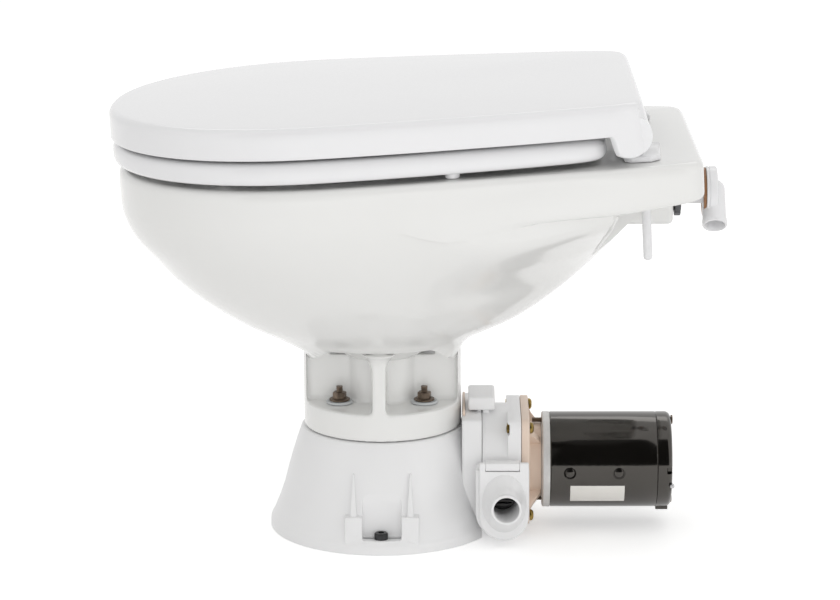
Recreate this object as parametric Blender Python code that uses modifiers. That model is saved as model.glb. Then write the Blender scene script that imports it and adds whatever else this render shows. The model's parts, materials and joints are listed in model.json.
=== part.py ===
"""Electric marine toilet: ceramic bowl on a moulded base, with a macerator pump and motor behind it.

Metres, +Z up. The origin is the middle of the base on the floor. +Y points to the motor, +X to the
discharge side. Rim, deck, seat and lid share a plane that rises to the rear: they hang on rim_frame,
whose z = 0 is the top of the rim.
"""
import math

import bmesh
import bpy
from mathutils import Matrix, Vector

# Clearances and overruns
CLEARANCE = 0.0003
OVERRUN = 0.004
BURY = 0.003

# Pump body; the height of its axis and of the base follow from its radius
PUMP_BODY_RADIUS = 0.0480
PUMP_FLOOR_GAP = 0.0070
DUCT_STEP = 0.0170
DUCT_WALL = 0.0055
DUCT_COVER = 0.0020
AXIS_HEIGHT = PUMP_BODY_RADIUS + PUMP_FLOOR_GAP
DUCT_RADIUS = PUMP_BODY_RADIUS - DUCT_STEP
DUCT_BORE = DUCT_RADIUS - DUCT_WALL
BASE_HEIGHT = AXIS_HEIGHT + DUCT_RADIUS + DUCT_COVER

# Foot of the bowl
FOOT_RADIUS = 0.0665
GASKET_SPACE = 0.0020
LEDGE_THICKNESS = 0.0215
POCKET_HEIGHT = 0.0385
THROAT_SHARE = 0.3308
THROAT_WALL = 0.0080
FOOT_WEB = 0.0240
FOOT_RIB = 0.0120
FOOT_RIB_OFFSET = -0.0015
FOOT_END_WALL = 0.0080
POCKET_TOP_GAP = 0.0020
FOOT_BOTTOM = BASE_HEIGHT + GASKET_SPACE
FOOT_LEDGE = FOOT_BOTTOM + LEDGE_THICKNESS
FOOT_TOP = FOOT_LEDGE + POCKET_HEIGHT
THROAT_RADIUS = FOOT_RADIUS * THROAT_SHARE

# Rim frame
BOWL_DEPTH = 0.1740
RIM_HEIGHT = FOOT_TOP + BOWL_DEPTH
RIM_TILT = math.radians(2.8)

# Rim and deck outline
RIM_FRONT = 0.2170
RIM_HALF_WIDTH = 0.1700
RIM_WIDEST = 0.0400
DECK_REAR = 0.2590
SLAB_THICKNESS = 0.0310
SLAB_TOP_ROUND = 0.0060
SLAB_BOTTOM_ROUND = 0.0040
DECK_TAPER_SHARE = 0.20
DECK_CORNER_POWER = 8.0
FRONT_POWER = 2.1
TAPER_POWER = 1.5

# Basin
RIM_FRONT_WIDTH = 0.0410
RIM_SIDE_WIDTH = 0.0500
DECK_LENGTH = 0.1370
RIM_LIP_DEPTH = 0.0280
RIM_LIP_ROUND = 0.0050
RIM_UNDERCUT = 0.0080
RIM_INNER_FRONT = RIM_FRONT - RIM_FRONT_WIDTH
RIM_INNER_REAR = DECK_REAR - DECK_LENGTH
RIM_INNER_HALF_WIDTH = RIM_HALF_WIDTH - RIM_SIDE_WIDTH

# Bowl body below the slab, as shares of its depth and of the way out from the foot to the rim:
# depth, front, rear, width, tilt, corner power
BODY_SECTION_SHARES = [
    (0.05, 0.993, 0.880, 0.975, 0.95, 3.6),
    (0.19, 0.960, 0.795, 0.915, 0.82, 2.6),
    (0.33, 0.877, 0.705, 0.812, 0.66, 2.2),
    (0.48, 0.753, 0.569, 0.668, 0.48, 2.0),
    (0.62, 0.630, 0.450, 0.512, 0.32, 2.0),
    (0.76, 0.460, 0.297, 0.334, 0.17, 2.0),
    (0.88, 0.260, 0.124, 0.148, 0.06, 2.0),
    (0.96, 0.087, 0.022, 0.034, 0.00, 2.0),
]
BODY_TAPER_SHARE = 0.28

# Basin sections from under the rim to the throat, shares of the way from the throat to the rim opening:
# depth, reach, tilt
BASIN_SECTION_SHARES = [
    (0.04, 1.00, 0.90),
    (0.18, 0.985, 0.80),
    (0.34, 0.93, 0.65),
    (0.48, 0.83, 0.50),
    (0.62, 0.67, 0.35),
    (0.75, 0.47, 0.20),
    (0.86, 0.26, 0.10),
    (0.94, 0.10, 0.00),
]
BASIN_FLOOR_GAP = 0.0060

# Hinge line, in the rim frame
HINGE_REAR_GAP = 0.0570
HINGE_Y = DECK_REAR - HINGE_REAR_GAP

# Seat and lid outlines, in the rim frame
LID_FRONT_OVERHANG = 0.0045
LID_SIDE_OVERHANG = 0.0040
LID_REAR_STEP = 0.0110
LID_WIDEST = 0.0540
LID_REAR_TAPER_SHARE = 0.195
LID_CORNER_POWER = 9.0
SEAT_INSET = 0.0010
SEAT_REAR_STEP = 0.0210
SEAT_GAP = 0.0052
SEAT_THICKNESS = 0.0182
SEAT_ROUND = 0.0080
SEAT_FRONT_COVER = 0.0180
SEAT_REAR_COVER = 0.0240
SEAT_SIDE_COVER = 0.0120
LID_GAP = 0.0020
LID_DEPTH = 0.0260
LID_WALL = 0.0040
LID_ROUND = 0.0055
LID_CROWN = 0.0012
LID_CROWN_SHARES = (0.6,)
LID_REAR_SKIRT = 0.0120
BUFFER_RADIUS = 0.0060
SEAT_BUFFER_SHARES = [(0.7356, -0.5418), (0.8391, 0.2709)]
LID_BOSS_RADIUS = 0.0070
LID_BOSS_GAP = 0.0035
LID_BUFFER_SHARES = [(0.6782, -0.5643), (0.7586, 0.2257)]
LID_FRONT = RIM_FRONT + LID_FRONT_OVERHANG
LID_HALF_WIDTH = RIM_HALF_WIDTH + LID_SIDE_OVERHANG
LID_REAR = HINGE_Y + LID_REAR_STEP
SEAT_REAR = HINGE_Y - SEAT_REAR_STEP
SEAT_HOLE_FRONT = RIM_INNER_FRONT - SEAT_FRONT_COVER
SEAT_HOLE_REAR = RIM_INNER_REAR - SEAT_REAR_COVER
SEAT_HOLE_HALF_WIDTH = RIM_INNER_HALF_WIDTH - SEAT_SIDE_COVER

# Hinge, in the rim frame
HINGE_RISE = 0.0187
HINGE_SPACING_SHARE = 0.8908
HINGE_PIN_RADIUS = 0.0030
HINGE_POST_WIDTH = 0.0180
HINGE_POST_RADIUS = 0.0080
HINGE_PLATE_THICKNESS = 0.0050
HINGE_PLATE_FRONT_REACH = 0.0110
HINGE_PLATE_REAR_REACH = 0.0300
HINGE_PLATE_WIDTH = 0.0280
HINGE_BOLT_STEP = 0.0170
HINGE_BOLT_RADIUS = 0.0040
HINGE_BOLT_LENGTH = 0.0900
HINGE_BOLT_TIP_SHARE = 0.7
HINGE_BOLT_HEAD_RADIUS = 0.0075
HINGE_BOLT_HEAD = 0.0022
HINGE_HOLE_RADIUS = 0.0060
HINGE_NUT_RADIUS = 0.0130
HINGE_NUT_HEIGHT = 0.0110
SEAT_LUG_WIDTH = 0.0120
SEAT_LUG_RADIUS = 0.0085
HINGE_SIDE_GAP = 0.0006
LID_LOBE_RADIUS = 0.0168
LID_LOBE_WIDTH = 0.0260
LID_LOBE_SETBACK = 0.0345
HINGE_Z = SEAT_GAP + HINGE_RISE
HINGE_SPACING = LID_HALF_WIDTH * HINGE_SPACING_SHARE
HINGE_BOLT_Y = HINGE_Y + HINGE_BOLT_STEP
HINGE_PLATE_FRONT = HINGE_Y - HINGE_PLATE_FRONT_REACH
HINGE_PLATE_REAR = HINGE_Y + HINGE_PLATE_REAR_REACH
LID_LOBE_OUTER = LID_HALF_WIDTH - LID_LOBE_SETBACK

# Deck underside, water channel and inlet
RECESS_INNER_STEP = 0.0275
RECESS_SIDE_GAP = 0.0460
RECESS_REAR_GAP = 0.0130
RECESS_LENGTH = 0.0710
DECK_PLATE = 0.0100
CHANNEL_HALF_WIDTH = 0.0240
CHANNEL_REAR_GAP = 0.0170
CHANNEL_LENGTH = 0.0520
CHANNEL_TOP_GAP = 0.0090
CHANNEL_EDGE = 0.0040
INLET_DROP = 0.0380
INLET_TO_CHANNEL_BOTTOM = 0.0230
INLET_BORE = 0.0110
INLET_BORE_DEPTH = 0.0300
SHANK_RADIUS = 0.0095
SHANK_REACH = 0.0120
WATERWAY_RADIUS = 0.0065
INLET_NUT_RADIUS = 0.0200
INLET_NUT_THICKNESS = 0.0062
INLET_NUT_ROOM = 0.0010
INLET_SEAL_RADIUS = 0.0150
INLET_SEAL_THICKNESS = 0.0015
INLET_WASHER_THICKNESS = 0.0020
INLET_WASHER_RADIUS = 0.0205
ELBOW_COLLAR_GAP = 0.0110
ELBOW_COLLAR_THICKNESS = 0.0070
ELBOW_COLLAR_RADIUS = 0.0215
ELBOW_AXIS_STEP = 0.0088
ELBOW_TUBE_RADIUS = 0.0081
ELBOW_KNEE_RADIUS = 0.0084
ELBOW_BARB_RADIUS = 0.0092
ELBOW_BARB_LENGTH = 0.0050
ELBOW_LENGTH = 0.0320
ELBOW_SWING = math.radians(42.0)
RECESS_INNER = HINGE_SPACING / 2.0 - RECESS_INNER_STEP
RECESS_OUTER = RIM_HALF_WIDTH - RECESS_SIDE_GAP
RECESS_REAR = DECK_REAR - RECESS_REAR_GAP
RECESS_FRONT = RECESS_REAR - RECESS_LENGTH
CHANNEL_REAR = DECK_REAR - CHANNEL_REAR_GAP
CHANNEL_FRONT = CHANNEL_REAR - CHANNEL_LENGTH
INLET_HEIGHT = RIM_HEIGHT - INLET_DROP
CHANNEL_BOTTOM = INLET_HEIGHT - INLET_TO_CHANNEL_BOTTOM
CHANNEL_TOP = RIM_HEIGHT - CHANNEL_TOP_GAP
ELBOW_COLLAR_FACE = DECK_REAR + ELBOW_COLLAR_GAP
ELBOW_AXIS_Y = ELBOW_COLLAR_FACE + ELBOW_AXIS_STEP

# Base housing
BASE_SPREAD = 0.0295
BASE_FLANGE_THICKNESS = 0.0090
BASE_FLANGE_EDGE = 0.0028
BASE_CONE_STEP = 0.0035
BASE_CONE_FOOT = 0.0120
BASE_TOP_STEP = 0.0025
BASE_SHOULDER = 0.0020
BASE_WALL = 0.0045
BASE_TOP_PLATE = 0.0070
BASE_CONE_SHARES = [(0.0, 1.0), (0.28, 0.69), (0.65, 0.35), (1.0, 0.0)]
SUMP_WALL = 0.0050
SUMP_STEP = 0.0050
SUMP_FLOOR = 0.0060
TOWER_SETBACK = 0.0020
TOWER_HEIGHT = 0.0310
TOWER_INNER = 0.0165
TOWER_OUTER = 0.0315
RECESS_DEPTH = 0.0185
RECESS_LINING = 0.0050
GUSSET_THICKNESS = 0.0032
GUSSET_HEIGHT_SHARE = 0.7273
GUSSET_REACH_SHARE = 0.35
FLOOR_BOLT_SETBACK = 0.0100
FLOOR_BOLT_HOLE = 0.0035
FLOOR_BOLT_SHANK = 0.0030
FLOOR_BOLT_HEAD_RADIUS = 0.0052
FLOOR_BOLT_HEAD = 0.0085
REAR_PLATE_SETBACK = 0.0125
REAR_PLATE_THICKNESS = 0.0165
REAR_PLATE_NARROWING = 0.0030
REAR_PLATE_BOTTOM = 0.0080
REAR_PLATE_RISE = 0.0135
REAR_PLATE_EDGE = 0.0030
BASE_FLANGE_RADIUS = FOOT_RADIUS + BASE_SPREAD
BASE_CONE_BOTTOM_RADIUS = BASE_FLANGE_RADIUS - BASE_CONE_STEP
BASE_CONE_TOP_RADIUS = FOOT_RADIUS + BASE_TOP_STEP
SUMP_BORE = THROAT_RADIUS + SUMP_STEP
SUMP_RADIUS = SUMP_BORE + SUMP_WALL
TOWER_FRONT = BASE_CONE_BOTTOM_RADIUS - TOWER_SETBACK
RECESS_WALL_X = BASE_FLANGE_RADIUS - RECESS_DEPTH
GUSSET_HEIGHT = BASE_HEIGHT * GUSSET_HEIGHT_SHARE
FLOOR_BOLT_X = BASE_FLANGE_RADIUS - FLOOR_BOLT_SETBACK
REAR_PLATE_REAR = BASE_FLANGE_RADIUS - REAR_PLATE_SETBACK
REAR_PLATE_FRONT = REAR_PLATE_REAR - REAR_PLATE_THICKNESS
REAR_PLATE_HALF_WIDTH = PUMP_BODY_RADIUS - REAR_PLATE_NARROWING
REAR_PLATE_TOP = BASE_HEIGHT + REAR_PLATE_RISE

# Gasket and bowl fixings
GASKET_SETBACK = 0.0010
STUD_X_SHARE = 0.376
STUD_Y_SHARE = 0.534
STUD_RADIUS = 0.0028
STUD_RISE = 0.0215
STUD_HOLE = 0.0045
PAD_SHARE = 0.1504
PAD_THICKNESS = 0.0020
WASHER_STEP = 0.0008
WASHER_THICKNESS = 0.0015
STUD_NUT_RADIUS = 0.0060
STUD_NUT_HEIGHT = 0.0055
GASKET_OUTER = FOOT_RADIUS - GASKET_SETBACK
STUD_X = FOOT_RADIUS * STUD_X_SHARE
STUD_Y = FOOT_RADIUS * STUD_Y_SHARE
STUD_TOP = FOOT_LEDGE + STUD_RISE
PAD_RADIUS = FOOT_RADIUS * PAD_SHARE
WASHER_RADIUS = PAD_RADIUS - WASHER_STEP

# Pump
PUMP_SEAL = 0.0008
PUMP_SEAL_WIDTH = 0.0060
PUMP_BODY_LENGTH = 0.0215
PUMP_FLANGE_THICKNESS = 0.0115
PUMP_FLANGE_STEP = 0.0020
PUMP_FLANGE_CORNER = 0.0100
PUMP_FRONT_WALL = 0.0040
PUMP_WALL = 0.0055
PUMP_FLANGE_FRONT = REAR_PLATE_REAR + PUMP_BODY_LENGTH
PUMP_FLANGE_REAR = PUMP_FLANGE_FRONT + PUMP_FLANGE_THICKNESS
PUMP_FLANGE_HALF = PUMP_BODY_RADIUS - PUMP_FLANGE_STEP
CHAMBER_RADIUS = PUMP_BODY_RADIUS - PUMP_WALL

# Outlet block, port plate, nozzle, valve and retainer
BLOCK_HALF_WIDTH = 0.0222
BLOCK_STEP = 0.0170
BLOCK_ROUND_DROP = 0.0262
BLOCK_RISE = 0.0178
BLOCK_OVERLAP = 0.0004
BLOCK_REACH = 0.0221
BLOCK_NECK_DEPTH = 0.0180
PORT_PLATE_STEP = 0.0053
PORT_PLATE_MARGIN = 0.0006
PORT_BORE_DROP = 0.0120
PORT_BORE = 0.0112
PORT_OVAL_HALF_WIDTH = 0.0207
PORT_OVAL_DROP = 0.0425
PORT_OVAL_RISE = 0.0087
NOZZLE_TAPER_LENGTH = 0.0180
NOZZLE_RADIUS = 0.0134
NOZZLE_TIP_LENGTH = 0.0130
VALVE_FLANGE_RADIUS = 0.0155
VALVE_FLANGE = 0.0028
VALVE_RADIUS = 0.0104
VALVE_WALL = 0.0015
VALVE_LENGTH = 0.0180
VALVE_LIP_HALF_HEIGHT = 0.0028
RETAINER_HALF_WIDTH = 0.0140
RETAINER_HEIGHT = 0.0068
RETAINER_DEPTH = 0.0052
BLOCK_Y = REAR_PLATE_REAR + BLOCK_STEP
BLOCK_ROUND_HEIGHT = AXIS_HEIGHT - BLOCK_ROUND_DROP
BLOCK_TOP = AXIS_HEIGHT + BLOCK_RISE
BLOCK_INNER = PUMP_BODY_RADIUS - BLOCK_OVERLAP
BLOCK_FACE = BLOCK_INNER + BLOCK_REACH
BLOCK_NECK_INNER = PUMP_BODY_RADIUS - BLOCK_NECK_DEPTH
PORT_PLATE_FACE = BLOCK_FACE + PORT_PLATE_STEP
PORT_BORE_HEIGHT = AXIS_HEIGHT - PORT_BORE_DROP
PORT_OVAL_LOW = AXIS_HEIGHT - PORT_OVAL_DROP
PORT_OVAL_HIGH = AXIS_HEIGHT + PORT_OVAL_RISE
NOZZLE_START = PORT_PLATE_FACE + NOZZLE_TAPER_LENGTH
NOZZLE_END = NOZZLE_START + NOZZLE_TIP_LENGTH
RETAINER_BOTTOM = BLOCK_TOP - RETAINER_HEIGHT
RETAINER_INNER = BLOCK_FACE - RETAINER_DEPTH

# Lock clip over the joint between base and pump
LUG_HALF_WIDTH = 0.0160
LUG_RISE = 0.0080
BASE_LUG_DEPTH = 0.0035
PUMP_LUG_DEPTH = 0.0055
CLIP_HALF_WIDTH = 0.0210
CLIP_FRONT_LEG = 0.0074
CLIP_REAR_LEG = 0.0040
CLIP_COVER = 0.0135
CLIP_EDGE = 0.0020
CLIP_SPACER_SETBACK = 0.0002
CLIP_SPACER_HALF_WIDTH = 0.0320
CLIP_SPACER_RISE = 0.0025
LUG_TOP = AXIS_HEIGHT + PUMP_BODY_RADIUS + LUG_RISE
CLIP_TOP = LUG_TOP + CLIP_COVER
CLIP_SPACER_FRONT = REAR_PLATE_FRONT + CLIP_SPACER_SETBACK
CLIP_SPACER_TOP = LUG_TOP + CLIP_SPACER_RISE

# Macerator
SHAFT_RADIUS = 0.0040
SHAFT_FRONT_GAP = 0.0027
CHOPPER_GAP = 0.0065
CHOPPER_THICKNESS = 0.0015
CHOPPER_TIP_GAP = 0.0065
CHOPPER_HALF_WIDTH = 0.0100
CHOPPER_NUT_RADIUS = 0.0065
CHOPPER_NUT = 0.0030
WEAR_PLATE_GAP = 0.0010
WEAR_PLATE_THICKNESS = 0.0015
WEAR_PLATE_HOLE = 0.0070
WEAR_PLATE_PORTS = 6
WEAR_PLATE_PORT_RADIUS = 0.0065
WEAR_PLATE_PORT_SETBACK = 0.0165
IMPELLER_GAP = 0.0015
IMPELLER_HUB = 0.0095
IMPELLER_VANE_DEPTH = 0.0130
IMPELLER_TIP_GAP = 0.0040
IMPELLER_BACK = 0.0025
IMPELLER_VANES = 5
IMPELLER_VANE_THICKNESS = 0.0030
IMPELLER_SWEEP = math.radians(58.0)
LIP_SEAL_RADIUS = 0.0110
SHAFT_FRONT = REAR_PLATE_REAR + SHAFT_FRONT_GAP
CHOPPER_FRONT = REAR_PLATE_REAR + CHOPPER_GAP
CHOPPER_RADIUS = CHAMBER_RADIUS - CHOPPER_TIP_GAP
WEAR_PLATE_PORT_CIRCLE = CHAMBER_RADIUS - WEAR_PLATE_PORT_SETBACK
IMPELLER_RADIUS = CHAMBER_RADIUS - IMPELLER_TIP_GAP

# Motor adapter
ADAPTER_PLATE = 0.0067
ADAPTER_HUB = 0.0315
ADAPTER_LENGTH = 0.0172
ADAPTER_RIB = 0.0060
SCREW_EDGE_DISTANCE = 0.0080
SCREW_RADIUS = 0.0020
SCREW_HOLE = 0.0024
SCREW_HEAD_RADIUS = 0.0048
SCREW_HEAD = 0.0034
SCREW_NUT_RADIUS = 0.0045
SCREW_NUT = 0.0032
SCREW_TAIL = 0.0010
ADAPTER_REAR = PUMP_FLANGE_REAR + ADAPTER_LENGTH
SCREW_OFFSET = PUMP_FLANGE_HALF - SCREW_EDGE_DISTANCE

# Motor; its length follows from core, commutator and brush card
MOTOR_RADIUS = 0.0405
MOTOR_WALL = 0.0025
FRONT_PLATE_THICKNESS = 0.0070
END_BELL_LENGTH = 0.0123
END_BELL_WALL = 0.0035
END_BELL_ROUND = 0.0045
BEARING_RADIUS = 0.0110
BEARING_WIDTH = 0.0055
REAR_BEARING_RADIUS = 0.0080
REAR_BEARING_WIDTH = 0.0045
CORE_FRONT_GAP = 0.0120
CORE_LENGTH = 0.0440
CORE_GAP = 0.0017
CORE_SLOTS = 8
CORE_SLOT_DEPTH = 0.0130
CORE_SLOT_WIDTH = 0.0050
WINDING_STEP = 0.0035
WINDING_LENGTH = 0.0080
COMMUTATOR_RADIUS = 0.0100
COMMUTATOR_GAP = 0.0092
COMMUTATOR_LENGTH = 0.0138
MAGNET_THICKNESS = 0.0103
MAGNET_HALF_ANGLE = math.radians(56.0)
MAGNET_OVERLAP = 0.0050
THROUGH_BOLT_INSET = 0.0060
THROUGH_BOLT_RADIUS = 0.0021
THROUGH_BOLT_TAIL = 0.0075
THROUGH_BOLT_HEAD_RADIUS = 0.0040
THROUGH_BOLT_HEAD = 0.0016
FOOT_TAB_HALF_WIDTH = 0.0110
FOOT_TAB_DROP = 0.0047
FOOT_TAB_RISE = 0.0035
CARD_GAP = 0.0026
CARD_THICKNESS = 0.0026
CARD_HOLE = 0.0122
CAN_END_ROOM = 0.0086
HOLDER_INNER = 0.0136
HOLDER_INSET = 0.0060
HOLDER_WALL = 0.0014
BRUSH_WIDTH = 0.0080
BRUSH_HALF_HEIGHT = 0.0032
BRUSH_LENGTH = 0.0120
BRUSH_STEP = 0.0068
SHAFT_END_GAP = 0.0043
SPRING_RADIUS = 0.0023
SPRING_WIRE = 0.0004
SPRING_TURNS = 4
FRONT_PLATE_FRONT = ADAPTER_REAR + CLEARANCE
FRONT_PLATE_REAR = FRONT_PLATE_FRONT + FRONT_PLATE_THICKNESS
CORE_FRONT = FRONT_PLATE_REAR + CORE_FRONT_GAP
CORE_REAR = CORE_FRONT + CORE_LENGTH
COMMUTATOR_FRONT = CORE_REAR + COMMUTATOR_GAP
COMMUTATOR_REAR = COMMUTATOR_FRONT + COMMUTATOR_LENGTH
BRUSH_Y = COMMUTATOR_FRONT + BRUSH_STEP
CARD_FRONT = COMMUTATOR_REAR + CARD_GAP
CAN_REAR = CARD_FRONT + CAN_END_ROOM
END_BELL_REAR = CAN_REAR + END_BELL_LENGTH
SHAFT_REAR = END_BELL_REAR - SHAFT_END_GAP
MAGNET_INNER = MOTOR_RADIUS - MAGNET_THICKNESS
CORE_RADIUS = MAGNET_INNER - CORE_GAP
WINDING_RADIUS = CORE_RADIUS - WINDING_STEP
THROUGH_BOLT_OFFSET = MOTOR_RADIUS - THROUGH_BOLT_INSET
THROUGH_BOLT_TIP = FRONT_PLATE_FRONT - THROUGH_BOLT_TAIL
HOLDER_OUTER = MOTOR_RADIUS - HOLDER_INSET
FOOT_TAB_BOTTOM = AXIS_HEIGHT - MOTOR_RADIUS - FOOT_TAB_DROP
FOOT_TAB_TOP = AXIS_HEIGHT - MOTOR_RADIUS + FOOT_TAB_RISE

ROUND_STEPS = 24
SMALL_STEPS = 14
FASTENER_STEPS = 8
NUT_SIDES = 6
OUTLINE_STEPS = 32
SOFT_SHARE = 0.3

AXIS = Vector((0.0, 0.0, AXIS_HEIGHT))
X_AXIS = Vector((1.0, 0.0, 0.0))
Y_AXIS = Vector((0.0, 1.0, 0.0))
Z_AXIS = Vector((0.0, 0.0, 1.0))


def clear_file():
    """Remove what the file opens with."""
    for obj in list(bpy.data.objects):
        bpy.data.objects.remove(obj, do_unlink=True)


def new_collection(name):
    collection = bpy.data.collections.new(name)
    bpy.context.scene.collection.children.link(collection)
    return collection


clear_file()
PARTS = new_collection("electric_marine_toilet")
CUTTERS = new_collection("cutters")


def paint(name, colour, roughness, metallic=0.0):
    """A plain Principled material."""
    material = bpy.data.materials.new(name)
    material.use_nodes = True
    shader = material.node_tree.nodes["Principled BSDF"]
    shader.inputs["Base Color"].default_value = (*colour, 1.0)
    shader.inputs["Roughness"].default_value = roughness
    shader.inputs["Metallic"].default_value = metallic
    material.diffuse_color = (*colour, 1.0)
    return material


CERAMIC = paint("glazed_ceramic", (0.86, 0.86, 0.85), 0.08)
SEAT_PLASTIC = paint("seat_plastic", (0.86, 0.86, 0.87), 0.15)
BASE_PLASTIC = paint("base_plastic", (0.78, 0.79, 0.81), 0.35)
ADAPTER_PLASTIC = paint("adapter_plastic", (0.72, 0.52, 0.42), 0.45)
RUBBER = paint("black_rubber", (0.03, 0.03, 0.03), 0.7)
PALE_RUBBER = paint("pale_rubber", (0.62, 0.63, 0.62), 0.6)
STEEL = paint("stainless_steel", (0.55, 0.55, 0.55), 0.3, 1.0)
DARK_STEEL = paint("dark_steel", (0.17, 0.13, 0.10), 0.4, 1.0)
BRASS = paint("brass", (0.60, 0.42, 0.16), 0.3, 1.0)
GREY_CAST = paint("cast_aluminium", (0.42, 0.42, 0.43), 0.5, 1.0)
MOTOR_BLACK = paint("motor_black", (0.012, 0.012, 0.013), 0.18)
NUT_GREY = paint("nut_grey", (0.10, 0.10, 0.11), 0.5)
COPPER = paint("copper", (0.70, 0.30, 0.14), 0.35, 1.0)
CORE_STEEL = paint("core_steel", (0.25, 0.24, 0.24), 0.5, 1.0)
FERRITE = paint("ferrite", (0.06, 0.06, 0.065), 0.6)
CARBON = paint("carbon", (0.03, 0.03, 0.032), 0.55)
CARD = paint("brush_card", (0.33, 0.16, 0.07), 0.5)


def frame_empty(name, location, tilt=0.0, parent=None):
    """An empty that carries pieces; it turns about X by tilt."""
    empty = bpy.data.objects.new(name, None)
    empty.location = location
    empty.rotation_euler = (tilt, 0.0, 0.0)
    empty.parent = parent
    PARTS.objects.link(empty)
    return empty


RIM_FRAME = frame_empty("rim_frame", (0.0, 0.0, RIM_HEIGHT), RIM_TILT)
HINGE_FRAME = frame_empty("hinge_frame", (0.0, HINGE_Y, HINGE_Z), 0.0, RIM_FRAME)
ROTOR_FRAME = frame_empty("rotor_frame", AXIS)
ELBOW_FRAME = frame_empty("elbow_frame", (0.0, ELBOW_AXIS_Y, INLET_HEIGHT))


def add(name, mesh, material=None, matrix=None):
    """Link a mesh as an object; without a material it is a tool for a Boolean."""
    obj = bpy.data.objects.new(name, mesh)
    if matrix is not None:
        obj.matrix_local = matrix
    if material:
        mesh.materials.append(material)
        PARTS.objects.link(obj)
        return obj
    obj.hide_render = True
    obj.display_type = "WIRE"
    CUTTERS.objects.link(obj)
    return obj


def finish_mesh(name, bm, smooth=True):
    bmesh.ops.recalc_face_normals(bm, faces=bm.faces)
    mesh = bpy.data.meshes.new(name)
    bm.to_mesh(mesh)
    bm.free()
    if smooth:
        mesh.shade_smooth()
        mesh.set_sharp_from_angle(angle=math.radians(32.0))
    return mesh


def block(name, low, high, material=None, edge=0.0, segments=2):
    """A box between two corners, its edges rounded when edge is given."""
    low, high = Vector(low), Vector(high)
    size = high - low
    bm = bmesh.new()
    bmesh.ops.create_cube(bm, size=1.0)
    bmesh.ops.scale(bm, vec=size, verts=bm.verts)
    bmesh.ops.translate(bm, vec=(low + high) / 2.0, verts=bm.verts)
    obj = add(name, finish_mesh(name, bm, smooth=False), material)
    if edge:
        round_edges(obj, edge, segments)
    return obj


def round_edges(obj, width, segments=2):
    bevel = obj.modifiers.new("round", "BEVEL")
    bevel.width = width
    bevel.segments = segments
    bevel.limit_method = "ANGLE"
    return bevel


def rod(name, start, end, radius, material=None, end_radius=None, steps=SMALL_STEPS):
    """A cylinder or cone between two points."""
    start, end = Vector(start), Vector(end)
    bm = bmesh.new()
    along = end - start
    turn = along.to_track_quat("Z", "Y").to_matrix().to_4x4()
    half_step = Matrix.Rotation(math.pi / steps, 4, "Z")
    place = Matrix.Translation((start + end) / 2.0) @ turn @ half_step
    far_radius = radius if end_radius is None else end_radius
    bmesh.ops.create_cone(bm, cap_ends=True, segments=steps, radius1=radius, radius2=far_radius,
                          depth=along.length, matrix=place)
    return add(name, finish_mesh(name, bm), material)


def ring(name, start, end, outer, inner, material, steps=SMALL_STEPS):
    """A washer-like ring between two points on its axis."""
    start, end = Vector(start), Vector(end)
    length = (end - start).length
    profile = [(outer, length), (outer, 0.0), (inner, 0.0), (inner, length)]
    return turned(name, profile, start, end - start, material, steps, loop=True)


def turned(name, profile, origin, direction, material=None, steps=ROUND_STEPS, loop=False):
    """A turned solid. The profile is (radius, height) along direction, top to bottom outside."""
    bm = bmesh.new()
    verts = [bm.verts.new((radius, 0.0, height)) for radius, height in profile]
    for first, second in zip(verts, verts[1:]):
        bm.edges.new((first, second))
    if loop:
        bm.edges.new((verts[-1], verts[0]))
    mesh = bpy.data.meshes.new(name)
    bm.to_mesh(mesh)
    bm.free()
    turn = Vector(direction).to_track_quat("Z", "Y").to_matrix().to_4x4()
    obj = add(name, mesh, material, Matrix.Translation(origin) @ turn)
    screw = obj.modifiers.new("turn", "SCREW")
    screw.steps = steps
    screw.render_steps = steps
    screw.use_merge_vertices = True
    screw.merge_threshold = 0.00001
    screw.use_smooth_shade = True
    return obj


def loft(name, rings, material=None, closed=False, matrix=None):
    """Skin rings of equal point count; closed joins the last ring to the first, else caps both."""
    bm = bmesh.new()
    rows = [[bm.verts.new(point) for point in points] for points in rings]
    pairs = list(zip(rows, rows[1:]))
    if closed:
        pairs.append((rows[-1], rows[0]))
    for upper, lower in pairs:
        for index, vert in enumerate(upper):
            after = (index + 1) % len(upper)
            bm.faces.new((vert, upper[after], lower[after], lower[index]))
    if not closed:
        bm.faces.new(rows[0])
        bm.faces.new(rows[-1])
    bmesh.ops.triangulate(bm, faces=bm.faces)
    return add(name, finish_mesh(name, bm), material, matrix)


def plate(name, outline, start, thickness, across, up, material=None):
    """A flat plate: a 2D outline in the plane of two axes, made thick on both sides of start."""
    curve = bpy.data.curves.new(name, "CURVE")
    curve.dimensions = "2D"
    curve.fill_mode = "BOTH"
    curve.extrude = thickness / 2.0
    spline = curve.splines.new("POLY")
    spline.points.add(len(outline) - 1)
    for point, (first, second) in zip(spline.points, outline):
        point.co = (first, second, 0.0, 1.0)
    spline.use_cyclic_u = True
    flat = bpy.data.objects.new(name + "_outline", curve)
    CUTTERS.objects.link(flat)
    graph = bpy.context.evaluated_depsgraph_get()
    mesh = bpy.data.meshes.new_from_object(flat.evaluated_get(graph))
    bpy.data.objects.remove(flat)
    bm = bmesh.new()
    bm.from_mesh(mesh)
    bmesh.ops.remove_doubles(bm, verts=bm.verts, dist=0.00001)
    across, up = Vector(across), Vector(up)
    frame = Matrix((across, up, across.cross(up))).transposed().to_4x4()
    bmesh.ops.transform(bm, matrix=Matrix.Translation(start) @ frame, verts=bm.verts)
    bpy.data.meshes.remove(mesh)
    return add(name, finish_mesh(name, bm, smooth=False), material)


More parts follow.
